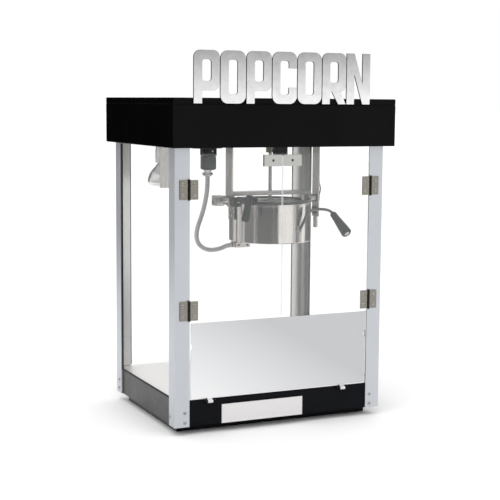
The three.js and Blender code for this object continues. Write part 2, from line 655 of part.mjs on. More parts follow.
// ---------------------------------------------------------------- hung from the ceiling
// A flat hanger from the ceiling down to the trunnion, with a foot at the top.
function hanger([inner, outer], side, halfWidth, bottom, roundEnd) {
  const { hole, foot: reach, footPlate } = HANGER;
  const top = CABINET.top - KETTLE.axisZ;
  const outline = new THREE.Shape();
  outline.moveTo(halfWidth, top);
  outline.lineTo(-halfWidth, top);
  if (roundEnd) {
    outline.absarc(0, 0, halfWidth, Math.PI, 2 * Math.PI);
  } else {
    outline.lineTo(-halfWidth, bottom);
    outline.lineTo(halfWidth, bottom);
  }
  outline.closePath();
  const footX = side < 0 ? [inner - reach, outer] : [inner, outer + reach];
  return prism(outline, 'x', [inner, outer], 6)
    .add(box(footX, [-halfWidth, halfWidth], [top - footPlate, top]))
    .subtract(rod([inner - 1, 0, 0], [outer + 1, 0, 0], hole, hole, 24));
}

// The right hanger runs on below the trunnion to a short stop tube.
function rightHanger() {
  const bottom = -37;
  const x = (HANGER.right[0] + HANGER.right[1]) / 2;
  const bar = hanger(HANGER.right, 1, HANGER_HALF_WIDTH.right, bottom, false);
  return bar.add(rod([x, 0, bottom - 22], [x, 0, bottom + 1], 4.5));
}

function gearMotor() {
  const bottom = ceilingBottom + CEILING.thickness + GAP;
  const gearbox = box([KETTLE.x - 42, KETTLE.x + 42], [-30, 30], [bottom, bottom + 28]);
  const motor = rod([KETTLE.x + 12, 0, bottom + 27], [KETTLE.x + 12, 0, bottom + 70], 29, 29, 24);
  const bore = rod([KETTLE.x, 0, bottom - 1], [KETTLE.x, 0, bottom + 27], COUPLING.shaft + 0.4);
  return gearbox.add(motor).subtract(bore);
}

function powerOutlet() {
  const { x, halfDepth, bottom, flangeX, flangeZ } = OUTLET;
  return box(x, [-halfDepth, halfDepth], [bottom, CABINET.top])
    .add(box(flangeX, [-halfDepth - 3, halfDepth + 3], flangeZ));
}

function cordPlug() {
  const { x, halfWidth, halfDepth, bottom, clampRadius, clampBottom } = PLUG;
  const top = OUTLET.bottom - GAP;
  const clampX = CORD_ROUTE[0][0];
  return box([x - halfWidth, x + halfWidth], [-halfDepth, halfDepth], [bottom, top])
    .add(rod([clampX, 0, clampBottom + 4], [clampX, 0, bottom + 1], clampRadius))
    .add(rod([clampX, 0, clampBottom], [clampX, 0, bottom + 1], clampRadius - 1.5));
}

function lampBulb() {
  const { face, faceRadius, neck } = LAMP;
  return turned([
    [0, face], [faceRadius - 6, face + 1.5], [faceRadius, face + 9], [faceRadius, face + 15],
    [faceRadius - 8, face + 32], [neck, face + 44], [neck, face + 55], [0, face + 55],
  ], 28, [LAMP.x, LAMP.y]);
}

function lampSocket() {
  const { face, neck } = LAMP;
  const mouth = face + 46;
  return turned([
    [neck + 1, mouth], [neck + 4, mouth], [neck + 4, mouth + 22], [neck + 2, CABINET.top], [0, CABINET.top],
    [0, mouth + 12], [neck + 1, mouth + 12], [neck + 1, mouth],
  ], 24, [LAMP.x, LAMP.y]);
}

// A bent screen in front of the lamp: a hanging sheet with a flange against the ceiling.
function lampShield() {
  const x = [-169, -110];
  return box(x, [21, 22.5], [LAMP.face, CABINET.top])
    .add(box(x, [21, 27], [CABINET.top - 1.5, CABINET.top]));
}

// ---------------------------------------------------------------- the whole machine
const machine = new THREE.Group();
machine.add(
  part('base_pan', basePan(), 'blackPaint'),
  part('deck_plate', deckPlate(), 'aluminium'),
  ...posts(),
  ...feet(),
  part('canopy_shell', canopyShell(), 'blackPaint'),
  part('ceiling_plate', ceilingPlate(), 'stainless'),
  part('left_side_glass', sidePane(-1), 'clearPane'),
  part('right_side_glass', sidePane(1), 'clearPane'),
  part('rear_glass', rearPane(), 'clearPane'),
  part('magnetic_catch', magneticCatch(), 'blackPlastic'),
  part('sign_letters', signLetters(), 'stainless'),
  part('power_receptacle', powerOutlet(), 'blackPlastic'),
  part('power_inlet', powerInlet(), 'blackPlastic'),
  part('lamp_socket', lampSocket(), 'blackPlastic'),
  part('lamp_bulb', lampBulb(), 'frostedGlass'),
  part('lamp_shield', lampShield(), 'stainless'),
  part('gear_motor', gearMotor(), 'greyPlastic'),
  ...rockers(),
  ...fixedHingeParts('left', -1),
  ...fixedHingeParts('right', 1),
  door('left', -1),
  door('right', 1),
  part('drop_panel', dropPanel(), 'stainless'),
  part('drawer_tray', drawerTray(), 'stainless'),
  part('cord_plug', cordPlug(), 'greyPlastic'),
  part('kettle_cord', bentRod(CORD_ROUTE, CORD_RADIUS, 16), 'conduit'),
  groupAt(
    KETTLE.x, 0, KETTLE.axisZ,
    part('left_hanger', hanger(HANGER.left, -1, HANGER_HALF_WIDTH.left, 0, true), 'stainless'),
    part('right_hanger', rightHanger(), 'stainless'),
    part('kettle_drum', kettleDrum(), 'stainless'),
    part('kettle_yoke', kettleYoke(), 'stainless'),
    part('left_trunnion', leftTrunnion(), 'stainless'),
    part('right_trunnion', rightTrunnion(), 'stainless'),
    part('handle_rod', bentRod(handleRoute, 2.8, 20, 8), 'stainless'),
    part('handle_grip', rod(gripStart, gripEnd, 6.5, 10), 'blackPlastic'),
    part('terminal_cover', terminalCover(), 'stainless'),
    part('front_lid', halfLid(-1), 'stainless'),
    part('lid_handle', lidHandle(), 'blackPlastic'),
    part('rear_lid', halfLid(1), 'stainless'),
    part('stirrer', stirrer(), 'stainless'),
    part('drive_coupling', driveCoupling(), 'nickel'),
  ),
);

export default machine;
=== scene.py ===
"""Tabletop popcorn machine: looks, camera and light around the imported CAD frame. Metres, +Z up."""
import math

import bmesh
import bpy
from mathutils import Matrix, Vector


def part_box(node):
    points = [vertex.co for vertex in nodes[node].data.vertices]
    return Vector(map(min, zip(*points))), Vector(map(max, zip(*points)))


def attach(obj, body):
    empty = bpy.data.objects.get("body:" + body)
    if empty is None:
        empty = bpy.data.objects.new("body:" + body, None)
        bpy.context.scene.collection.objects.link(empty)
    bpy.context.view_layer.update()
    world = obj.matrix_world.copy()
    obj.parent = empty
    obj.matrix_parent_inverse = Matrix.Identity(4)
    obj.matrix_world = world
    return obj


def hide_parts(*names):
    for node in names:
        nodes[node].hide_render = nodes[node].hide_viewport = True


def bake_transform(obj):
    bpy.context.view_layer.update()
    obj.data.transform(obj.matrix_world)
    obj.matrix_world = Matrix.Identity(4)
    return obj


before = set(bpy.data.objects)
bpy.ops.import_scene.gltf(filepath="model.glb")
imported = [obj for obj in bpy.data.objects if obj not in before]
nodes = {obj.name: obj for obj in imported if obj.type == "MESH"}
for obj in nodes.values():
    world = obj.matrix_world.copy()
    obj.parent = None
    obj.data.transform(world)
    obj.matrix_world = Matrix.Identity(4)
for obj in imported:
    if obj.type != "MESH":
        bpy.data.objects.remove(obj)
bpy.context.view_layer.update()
scene = bpy.context.scene
MM = 0.001


def mm(*values):
    """Millimetres to metres, as a tuple."""
    return tuple(value * MM for value in values)


def placed(name, data):
    """A new object in the scene."""
    item = bpy.data.objects.new(name, data)
    scene.collection.objects.link(item)
    return item


# ---- camera
CAMERA_PLACE = (-0.9955, -2.1737, 0.5983)
CAMERA_YAW, CAMERA_PITCH, CAMERA_ROLL = -24.82, -6.857, 0.428
CAMERA_LENS, CAMERA_SENSOR = 89.02, 36.0


def make_camera():
    data = bpy.data.cameras.new("photo_camera")
    data.lens = CAMERA_LENS
    data.sensor_width = CAMERA_SENSOR
    data.clip_start = 0.05
    data.clip_end = 200
    camera = placed("photo_camera", data)
    turn = Matrix.Rotation(math.radians(CAMERA_YAW), 4, "Z")
    tip = Matrix.Rotation(math.radians(90 + CAMERA_PITCH), 4, "X")
    roll = Matrix.Rotation(math.radians(CAMERA_ROLL), 4, "Z")
    camera.matrix_world = Matrix.Translation(CAMERA_PLACE) @ turn @ tip @ roll
    scene.camera = camera


# ---- material helpers
class Nodes:
    """A material's node tree with short calls to add and join nodes."""

    def __init__(self, name):
        self.material = bpy.data.materials.new(name)
        self.material.use_nodes = True
        self.tree = self.material.node_tree
        self.shader = self.tree.nodes["Principled BSDF"]
        self.place = self.add("ShaderNodeTexCoord").outputs["Object"]

    def add(self, kind, constants=(), **settings):
        """A new node with its settings, and with constants on its inputs."""
        node = self.tree.nodes.new(kind)
        for key, value in settings.items():
            setattr(node, key, value)
        for key, value in dict(constants).items():
            node.inputs[key].default_value = value
        return node

    def join(self, output, socket):
        self.tree.links.new(output, socket)

    def drive(self, output, name):
        """Joins an output to one of the shader's inputs."""
        self.join(output, self.shader.inputs[name])

    def stretched(self, scale):
        mapping = self.add("ShaderNodeMapping", {"Scale": scale})
        self.join(self.place, mapping.inputs["Vector"])
        return mapping.outputs["Vector"]

    def noise(self, scale, detail=3.0, stretch=(1, 1, 1), rough=0.5):
        texture = self.add("ShaderNodeTexNoise", {"Scale": scale, "Detail": detail, "Roughness": rough})
        self.join(self.stretched(stretch), texture.inputs["Vector"])
        return texture.outputs["Fac"]

    def ramp(self, factor, stops):
        """A colour ramp from (position, colour) stops."""
        ramp = self.add("ShaderNodeValToRGB")
        elements = ramp.color_ramp.elements
        while len(elements) < len(stops):
            elements.new(0.5)
        for element, (position, colour) in zip(elements, stops):
            element.position = position
            element.color = (*colour, 1)
        self.join(factor, ramp.inputs["Fac"])
        return ramp.outputs["Color"]

    def spread(self, factor, low, high):
        """factor's middle range, 0.3 to 0.7, moved to low to high."""
        ends = {"From Min": 0.3, "From Max": 0.7, "To Min": low, "To Max": high}
        spread = self.add("ShaderNodeMapRange", ends)
        self.join(factor, spread.inputs["Value"])
        return spread.outputs["Result"]

    def bump(self, height, strength, distance):
        bump = self.add("ShaderNodeBump", {"Strength": strength, "Distance": distance})
        self.join(height, bump.inputs["Height"])
        self.drive(bump.outputs["Normal"], "Normal")

    def set(self, **values):
        for key, value in values.items():
            self.shader.inputs[key.replace("_", " ")].default_value = value


GRAIN_DEPTH = 0.2 * MM


def tint(colour, factor):
    return tuple(min(1.0, channel * factor) for channel in colour)


def brushed_metal(name, colour, roughness, grain, contrast=0.05, bump=0.04):
    """Metal with a fine grain: noise drawn out along the brushing, which `grain` sets per axis."""
    nodes_ = Nodes(name)
    lines = nodes_.noise(1.0, 4.0, grain, 0.65)
    smears = nodes_.noise(9.0, 3.0)
    stops = [(0.25, tint(colour, 1 - contrast)), (0.75, tint(colour, 1 + contrast))]
    nodes_.drive(nodes_.ramp(lines, stops), "Base Color")
    combined = nodes_.add("ShaderNodeMath", operation="ADD")
    nodes_.join(nodes_.spread(lines, -0.04, 0.04), combined.inputs[0])
    nodes_.join(nodes_.spread(smears, roughness - 0.03, roughness + 0.03), combined.inputs[1])
    nodes_.drive(combined.outputs[0], "Roughness")
    nodes_.bump(lines, bump, GRAIN_DEPTH)
    nodes_.set(Metallic=1.0)
    return nodes_.material


def moulded(name, colour, roughness, grain=900.0, bump=0.12, specular=0.4):
    """Moulded plastic, rubber or powder coat: a fine skin, with slight dull and shiny patches."""
    nodes_ = Nodes(name)
    skin = nodes_.noise(grain, 2.0)
    patches = nodes_.noise(14.0, 4.0)
    stops = [(0.3, tint(colour, 0.85)), (0.7, tint(colour, 1.18))]
    nodes_.drive(nodes_.ramp(patches, stops), "Base Color")
    nodes_.drive(nodes_.spread(patches, roughness - 0.05, roughness + 0.05), "Roughness")
    nodes_.bump(skin, bump, GRAIN_DEPTH)
    nodes_.set(Specular_IOR_Level=specular)
    return nodes_.material


def clear_pane(name, tone, alpha):
    """A clear sheet: nearly all see-through, with faint wipe marks in its gloss."""
    nodes_ = Nodes(name)
    marks = nodes_.noise(6.0, 5.0, (1, 1, 0.4))
    nodes_.drive(nodes_.spread(marks, 0.02, 0.07), "Roughness")
    nodes_.drive(nodes_.spread(marks, alpha * 0.85, alpha * 1.15), "Alpha")
    nodes_.set(Base_Color=(*tone, 1), Specular_IOR_Level=0.6)
    return nodes_.material


def painted_sheen_metal(name, start_tone, end_tone, direction, start, end, roughness, grain, contrast=0.04):
    """Metal with a painted sheen: its tone runs from one end of the piece to the other in place of a reflection;
    start and end are in metres.
    """
    nodes_ = Nodes(name)
    along = nodes_.add("ShaderNodeVectorMath", {1: direction}, operation="DOT_PRODUCT")
    nodes_.join(nodes_.place, along.inputs[0])
    span = nodes_.add("ShaderNodeMapRange", {"From Min": start, "From Max": end})
    nodes_.join(along.outputs["Value"], span.inputs["Value"])
    # Painted reflection: this ramp lays a light-to-dark sheen across the piece.
    tone = nodes_.ramp(span.outputs["Result"], [(0.0, start_tone), (1.0, end_tone)])
    lines = nodes_.noise(1.0, 4.0, grain, 0.65)
    streaks = nodes_.ramp(lines, [(0.25, (1 - contrast,) * 3), (0.75, (1, 1, 1))])
    mixed = nodes_.add("ShaderNodeMix", {"Factor": 1.0}, data_type="RGBA", blend_type="MULTIPLY")
    nodes_.join(tone, mixed.inputs[6])
    nodes_.join(streaks, mixed.inputs[7])
    nodes_.drive(mixed.outputs[2], "Base Color")
    nodes_.drive(nodes_.spread(lines, roughness - 0.04, roughness + 0.04), "Roughness")
    nodes_.bump(lines, 0.04, GRAIN_DEPTH)
    nodes_.set(Metallic=1.0)
    return nodes_.material


# Grains of metal, as the scale of their noise along X, Y and Z.
UPRIGHT, ACROSS, EVEN, SHORT = (900, 900, 9), (9, 900, 900), (300, 300, 300), (700, 40, 700)
# Metals: colour, roughness, grain along each axis, contrast, bump.
METALS = {
    "deck_steel": ((0.90, 0.885, 0.87), 0.42, ACROSS, 0.03),
    "ceiling_steel": ((0.70, 0.70, 0.69), 0.35, ACROSS, 0.03),
    "post_aluminium": ((0.555, 0.575, 0.605), 0.40, UPRIGHT, 0.03),
    "rear_post_steel": ((0.80, 0.79, 0.77), 0.36, UPRIGHT, 0.04),
    "hinge_nickel": ((0.27, 0.255, 0.225), 0.36, SHORT, 0.10),
    "strike_nickel": ((0.50, 0.495, 0.475), 0.34, SHORT, 0.08),
    "screw_steel": ((0.50, 0.49, 0.47), 0.28, (500, 500, 500), 0.06),
    "satin_stainless": ((0.77, 0.755, 0.755), 0.40, ACROSS, 0.02),
    "lamp_mirror": ((0.62, 0.62, 0.61), 0.30, (60, 60, 60), 0.10),
    "conduit_steel": ((0.60, 0.59, 0.58), 0.36, EVEN, 0.12),
    "kettle_stainless": ((0.66, 0.63, 0.60), 0.13, (500, 500, 7), 0.10, 0.03),
    "lid_stainless": ((0.085, 0.085, 0.083), 0.34, ACROSS, 0.10),
    "hanger_steel": ((0.44, 0.42, 0.40), 0.26, (700, 700, 14), 0.10),
    "yoke_steel": ((0.30, 0.29, 0.28), 0.26, (9, 700, 700), 0.10),
    # Painted shade: dark metal for the conduit's grooves.
    "groove_painted_shade": ((0.05, 0.05, 0.05), 0.45, EVEN, 0.10),
    # Painted shadow: near-black metal for the hinge knuckles, which sit in shade.
    "knuckle_painted_shadow": ((0.035, 0.033, 0.03), 0.4, EVEN, 0.10),
    "rod_steel": ((0.13, 0.125, 0.12), 0.30, EVEN, 0.10),
    "brass_pin": ((0.62, 0.46, 0.22), 0.3, EVEN, 0.05),
}
# Paint, plastic, rubber and glass: colour, roughness, grain, bump, specular.
MOULDED = {
    "black_paint": ((0.0036, 0.0036, 0.0042), 0.5, 1300.0, 0.06, 0.05),
    "base_paint": ((0.005, 0.005, 0.006), 0.28, 1300.0, 0.04, 0.4),
    # Painted shade: a duller, darker copy of base_paint for the base pan's front and back faces.
    "front_painted_shade": ((0.004, 0.0045, 0.006), 0.4, 1300.0, 0.04, 0.06),
    # Painted shade: a darker, glossless copy of black_paint for the canopy's sides.
    "side_painted_shade": ((0.0018, 0.0018, 0.0020), 0.6, 1300.0, 0.06, 0.0),
    "foot_rubber": ((0.045, 0.012, 0.014), 0.75, 500.0, 0.3, 0.3),
    "gasket": ((0.012, 0.012, 0.012), 0.6, 700.0, 0.2, 0.3),
    "pane_edge": ((0.62, 0.65, 0.65), 0.3, 300.0, 0.05, 0.5),
    # Dark screws, and painted shade in screw slots and under screw heads.
    "screw_black_and_slot_shade": ((0.03, 0.03, 0.03), 0.45, 500.0),
    "black_plastic": ((0.011, 0.012, 0.012), 0.42, 600.0, 0.15, 0.25),
    "sign_edge": ((0.02, 0.02, 0.02), 0.4, 500.0),
    "lamp_glass": ((0.80, 0.78, 0.74), 0.3, 400.0, 0.05, 0.5),
    "motor_grey": ((0.25, 0.26, 0.27), 0.5, 600.0),
    "plug_grey": ((0.024, 0.026, 0.028), 0.5, 500.0, 0.2, 0.2),
    # Near black: for small dark parts, and as painted shadow on the hinge pins.
    "dark_metal_and_painted_shadow": ((0.02, 0.02, 0.02), 0.6, 500.0),
}


def make_materials():
    made = {name: moulded(name, *recipe) for name, recipe in MOULDED.items()}
    made.update((name, brushed_metal(name, *recipe)) for name, recipe in METALS.items())
    made["clear_panel"] = clear_pane("clear_panel", (0.90, 0.93, 0.93), 0.05)
    # The drop panel's steel is painted lighter towards its lower left: a painted reflection of the floor.
    made["panel_painted_sheen"] = painted_sheen_metal(
        "panel_painted_sheen", (0.90, 0.905, 0.91), (0.555, 0.56, 0.57), (0.5, 0, 0.87), -0.03, 0.16, 0.38, ACROSS, 0.03)
    # The sign letters are painted light at the bottom and dark at the top: a painted chrome reflection.
    made["sign_steel"] = painted_sheen_metal(
        "sign_steel", (0.96, 0.96, 0.96), (0.42, 0.42, 0.43), (0, 0, 1), 0.600, 0.690, 0.30, (60, 60, 60), 0.22)
    return made


# ---- mesh helpers
def smooth(mesh, sharp=32):
    """Smooth shading, with edges sharper than the angle kept."""
    for polygon in mesh.polygons:
        polygon.use_smooth = True
    mesh.set_sharp_from_angle(angle=math.radians(sharp))


def second_finish(piece, material, chosen):
    """Gives the faces that `chosen` picks another finish."""
    mesh = piece.data
    mesh.materials.append(materials[material])
    for polygon in mesh.polygons:
        if chosen(polygon):
            polygon.material_index = len(mesh.materials) - 1


def applied(item):
    """A new mesh of the item as its modifiers or its curve's settings make it."""
    bpy.context.view_layer.update()
    return bpy.data.meshes.new_from_object(item.evaluated_get(bpy.context.evaluated_depsgraph_get()))


def finish_mesh(name, mesh_builder, body, slot, material, sharp=32):
    """Turns a bmesh into a smooth-shaded piece that rides on a body."""
    bmesh.ops.recalc_face_normals(mesh_builder, faces=mesh_builder.faces)
    mesh = bpy.data.meshes.new(name)
    mesh_builder.to_mesh(mesh)
    mesh_builder.free()
    smooth(mesh, sharp)
    mesh.materials.append(materials[material])
    piece = placed(name, mesh)
    if body:
        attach(piece, body)
    return piece


def add_rings(builder, rings, closed_ends=True):
    """Skins a list of rings of points, each ring with as many points as the next."""
    made = [[builder.verts.new(point) for point in ring] for ring in rings]
    count = len(made[0])
    for lower, upper in zip(made, made[1:]):
        for i in range(count):
            j = (i + 1) % count
            builder.faces.new((lower[i], lower[j], upper[j], upper[i]))
    if closed_ends:
        builder.faces.new(list(reversed(made[0])))
        builder.faces.new(made[-1])


def add_turned(builder, profile, frame_=Matrix.Identity(4), segments=48):
    """Adds a solid of revolution about the frame's Z from (radius, height) points in millimetres."""
    columns = []
    for radius, height in (mm(*point) for point in profile):
        if radius < 1e-9:
            columns.append([builder.verts.new(frame_ @ Vector((0, 0, height)))])
            continue
        ring = []
        for i in range(segments):
            angle = 2 * math.pi * i / segments
            point = Vector((radius * math.cos(angle), radius * math.sin(angle), height))
            ring.append(builder.verts.new(frame_ @ point))
        columns.append(ring)
    for lower, upper in zip(columns, columns[1:]):
        for i in range(segments):
            j = (i + 1) % segments
            corners = []
            for ring, k in ((lower, i), (lower, j), (upper, j), (upper, i)):
                if ring[k % len(ring)] not in corners:
                    corners.append(ring[k % len(ring)])
            if len(corners) > 2:
                builder.faces.new(corners)


def turned(name, profile, body, slot, material, frame_=Matrix.Identity(4), segments=48, sharp=32):
    builder = bmesh.new()
    add_turned(builder, profile, frame_, segments)
    return finish_mesh(name, builder, body, slot, material, sharp)


def at(x, y, z, axis=(0, 0, 1)):
    """A frame at a point in millimetres whose Z lies along axis."""
    turn = Vector((0, 0, 1)).rotation_difference(Vector(axis).normalized()).to_matrix().to_4x4()
    return Matrix.Translation(mm(x, y, z)) @ turn


def add_block(builder, x, y, z, bevel=0.5, segments=3):
    """Adds a box between limits in millimetres, with rounded edges."""
    made = bmesh.ops.create_cube(builder, size=1.0)["verts"]
    for vert in made:
        for k, (low, high) in enumerate((x, y, z)):
            vert.co[k] = (low if vert.co[k] < 0 else high) * MM
    if bevel:
        edges = {edge for vert in made for edge in vert.link_edges}
        bmesh.ops.bevel(
            builder, geom=list(edges), offset=bevel * MM, segments=segments, profile=0.5, affect="EDGES",
        )


def block(name, x, y, z, body, slot, material, bevel=0.5):
    builder = bmesh.new()
    add_block(builder, x, y, z, bevel)
    return finish_mesh(name, builder, body, slot, material)


def cutter(name, x, y, z):
    """A plain box, to be cut out of a piece."""
    return block(name, x, y, z, None, None, "gasket", 0)


def between(a, b):
    """Two limits in rising order."""
    return tuple(sorted((a, b)))


def smooth_path(points, steps):
    """Catmull-Rom points through the given ones, `steps` to each stretch."""
    knots = [Vector(point) for point in points]
    knots = [2 * knots[0] - knots[1], *knots, 2 * knots[-1] - knots[-2]]
    path = []
    for a, b, c, d in zip(knots, knots[1:], knots[2:], knots[3:]):
        for i in range(steps):
            t = i / steps
            path.append(0.5 * (2 * b + (c - a) * t + (2 * a - 5 * b + 4 * c - d) * t * t
                               + (3 * b - a - 3 * c + d) * t ** 3))
    path.append(knots[-2])
    return path


def resampled(path, step):
    """Points every `step` metres along a path, with its last point kept."""
    spaced, left = [path[0]], step
    for a, b in zip(path, path[1:]):
        length = (b - a).length
        while length >= left and length > 0:
            a = a + (b - a) * (left / length)
            spaced.append(a.copy())
            length, left = (b - a).length, step
        left -= length
    if (spaced[-1] - path[-1]).length > step * 0.3:
        spaced.append(path[-1])
    else:
        spaced[-1] = path[-1]
    return spaced


def tube_rings(path, radius_at, sides):
    """Rings round a path; radius_at gives the radius from the distance along it."""
    rings, along, side = [], 0.0, None
    for i, point in enumerate(path):
        ahead = (path[min(i + 1, len(path) - 1)] - path[max(i - 1, 0)]).normalized()
        if side is None:
            side = ahead.orthogonal().normalized()
        side = (side - ahead * side.dot(ahead)).normalized()
        other = ahead.cross(side)
        if i:
            along += (point - path[i - 1]).length
        angles = [2 * math.pi * k / sides for k in range(sides)]
        rings.append([point + radius_at(along) * (math.cos(a) * side + math.sin(a) * other) for a in angles])
    return rings


def tube(name, path, radius_at, sides, body, slot, material):
    builder = bmesh.new()
    add_rings(builder, tube_rings(path, radius_at, sides))
    return finish_mesh(name, builder, body, slot, material)


def plate(name, loops, thickness, frame_, body, slot, material, bevel=0.35):
    """A sheet cut to an outline with holes, with softened edges. Loops are closed lists of (u, v) in
    millimetres; u and v lie along the frame's X and Y, and the sheet is centred on its Z."""
    curve = bpy.data.curves.new(name, "CURVE")
    curve.dimensions = "2D"
    curve.fill_mode = "BOTH"
    curve.bevel_depth = bevel * MM
    curve.bevel_resolution = 2
    curve.extrude = (thickness / 2 - bevel) * MM
    curve.offset = -bevel * MM
    for loop in loops:
        spline = curve.splines.new("POLY")
        spline.points.add(len(loop) - 1)
        spline.use_cyclic_u = True
        for point, (u, v) in zip(spline.points, loop):
            point.co = (u * MM, v * MM, 0, 1)
    holder = placed(name, curve)
    flat = applied(holder)
    bpy.data.objects.remove(holder)
    builder = bmesh.new()
    builder.from_mesh(flat)
    bpy.data.meshes.remove(flat)
    bmesh.ops.remove_doubles(builder, verts=builder.verts, dist=1e-6)
    bmesh.ops.transform(builder, matrix=frame_, verts=builder.verts)
    sheet = finish_mesh(name, builder, body, slot, material, 40)
    across = frame_.to_3x3() @ Vector((0, 0, 1))
    for polygon in sheet.data.polygons:
        if abs(polygon.normal.dot(across)) > 0.99:
            polygon.use_smooth = False
    return sheet


def arc(centre, radius, start, end, steps=8):
    """Points on an arc, in degrees."""
    angles = [math.radians(start + (end - start) * i / steps) for i in range(steps + 1)]
    return [(centre[0] + radius * math.cos(a), centre[1] + radius * math.sin(a)) for a in angles]


def rounded(left, right, bottom, top, radius, steps=6):
    return (
        arc((right - radius, top - radius), radius, 0, 90, steps)
        + arc((left + radius, top - radius), radius, 90, 180, steps)
        + arc((left + radius, bottom + radius), radius, 180, 270, steps)
        + arc((right - radius, bottom + radius), radius, 270, 360, steps)
    )


def circle(u, v, radius, steps=24):
    return arc((u, v), radius, 0, 360 * (1 - 1 / steps), steps - 1)


# Frames for sheets that face the front (-Y) and the side (-X), with u to the right and v up.
def facing_front(y):
    return Matrix(((1, 0, 0, 0), (0, 0, -1, y * MM), (0, 1, 0, 0), (0, 0, 0, 1)))


def facing_side(x):
    return Matrix(((0, 0, 1, x * MM), (1, 0, 0, 0), (0, 1, 0, 0), (0, 0, 0, 1)))


def carved(piece, cutters):
    """Cuts temporary solids out of a piece, and removes them."""
    for tool in cutters:
        modifier = piece.modifiers.new("cut", "BOOLEAN")
        modifier.operation = "DIFFERENCE"
        modifier.solver = "EXACT"
        modifier.object = tool
    mesh = applied(piece)
    piece.modifiers.clear()
    piece.data = mesh
    smooth(mesh)
    for tool in cutters:
        bpy.data.objects.remove(tool)
    return piece


def limits(node):
    """A CAD node's limits in millimetres: ((x0, x1), (y0, y1), (z0, z1))."""
    low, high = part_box(node)
    return tuple((low[k] / MM, high[k] / MM) for k in range(3))


def centre(node):
    """The middle of a CAD node's limits, in millimetres."""
    return tuple((low + high) / 2 for low, high in limits(node))


# ---- fasteners
FRONT, BACK = (0, -1, 0), (0, 1, 0)
# A piece's slot and finish, for the pairs that repeat.
BLACK = ("black_plastic", "black_plastic")
NICKEL = ("hinge_nickel", "hinge_nickel")
HANGER = ("kettle_stainless", "hanger_steel")
SEAL = ("foot_rubber", "gasket")


def screw_mesh(radius=3.1, dome=1.9):
    """A cross-head pan screw about the origin, standing up along Z."""
    rise = [(radius * math.cos(a), dome * math.sin(a)) for a in (math.radians(15 * i) for i in range(1, 6))]
    profile = [(0, 0), (radius, 0), (radius, 0.3), *rise, (0, dome)]
    head = turned("screw_head", profile, None, None, "screw_steel", segments=24)
    half_slots = (("slot_a", 1.9, 0.35), ("slot_b", 0.35, 1.9))
    carved(head, [cutter(name, (-x, x), (-y, y), (dome - 0.9, dome + 1)) for name, x, y in half_slots])

    # The cross slots and the rim under the head are painted dark: painted shade.
    def in_shaded_slot_or_rim(polygon):
        middle = polygon.center
        in_slot = middle.z < (dome - 0.5) * MM and middle.xy.length < 1.95 * MM
        return in_slot or middle.z < 0.4 * MM

    second_finish(head, "screw_black_and_slot_shade", in_shaded_slot_or_rim)
    mesh = head.data
    bpy.data.objects.remove(head)
    return mesh


def put_screw(name, place, axis, body, turn=0.0, scale=1.0, mesh=None):
    piece = placed(name, mesh or screw)
    spin = Matrix.Rotation(math.radians(turn), 4, "Z")
    piece.matrix_world = at(*place, axis) @ spin @ Matrix.Scale(scale, 4)
    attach(piece, body)


# ---- the cord
# From the gland under the kettle up to the plug in the ceiling outlet.
CORD_ROUTE = [
    (-32.2, -6, 322.7), (-39, -6, 322.3), (-46, -5.8, 320.4), (-57.5, -5.2, 316.4), (-74, -4.4, 314.6),
    (-88, -3.6, 318), (-98.6, -3, 326.2), (-103.2, -2.4, 337), (-103.2, -1.7, 349), (-100.2, -1.1, 362),
    (-95.5, -0.8, 374), (-89.8, -0.4, 390), (-85, -0.1, 409), (-82, 0, 425), (-80.8, 0, 441),
    (-80.6, 0, 455.7),
]
CORD_DIAMETER = 0.0095
RIDGE_PITCH = 3.1 * MM
GROOVE_DEPTH = 0.8 * MM
RINGS_PER_RIDGE = 6
CONDUIT_SIDES = 18


def conduit_radius(along):
    """The corrugated radius: the full one on the ridges, and less in the grooves between them."""
    wave = 0.5 + 0.5 * math.cos(2 * math.pi * along / RIDGE_PITCH)
    return CORD_DIAMETER / 2 - GROOVE_DEPTH * wave


def in_shaded_groove(polygon):
    return polygon.index // CONDUIT_SIDES % RINGS_PER_RIDGE in (0, RINGS_PER_RIDGE - 1)


def make_cord():
    route = smooth_path([mm(*point) for point in CORD_ROUTE], 12)
    path = resampled(route, RIDGE_PITCH / RINGS_PER_RIDGE)
    conduit = tube("kettle_conduit", path, conduit_radius, CONDUIT_SIDES, None, None, "conduit_steel")
    # The conduit's grooves are painted dark: painted shade between the ridges.
    second_finish(conduit, "groove_painted_shade", in_shaded_groove)
    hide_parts("kettle_cord")
    body_x, body_y, body_z = limits("cord_plug")
    builder = bmesh.new()
    add_block(builder, body_x, body_y, (469, body_z[1]), 2.0, 4)
    add_block(builder, (body_x[0] + 3, body_x[1] - 3), (body_y[0] + 2, body_y[1] - 2), (467.8, 472), 1.0, 3)
    plug = finish_mesh("plug_body", builder, "cabinet", "plug_grey", "plug_grey")
    clamp_x = CORD_ROUTE[-1][0]
    builder = bmesh.new()
    profile = [
        (0, 456), (6.2, 456), (7.6, 457), (7.8, 459.6), (6.2, 461), (5.6, 463), (6.4, 465), (7, 466),
        (7, 469), (0, 469),
    ]
    add_turned(builder, profile, at(clamp_x, 0, 0), 32)
    for side in (-1, 1):
        x = clamp_x + side * 7.4
        add_block(builder, (x - 2.2, x + 2.2), (-3.5, 3.5), (457.5, 463.5), 0.8)
        put_screw(f"clamp_screw_{side + 2}", (x, -3.5, 460.5), FRONT, "cabinet", 25 * side, 0.55, dark_screw)
    clamp = finish_mesh("conduit_clamp", builder, "cabinet", "conduit_steel", "conduit_steel")
    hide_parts("cord_plug")
    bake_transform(conduit)


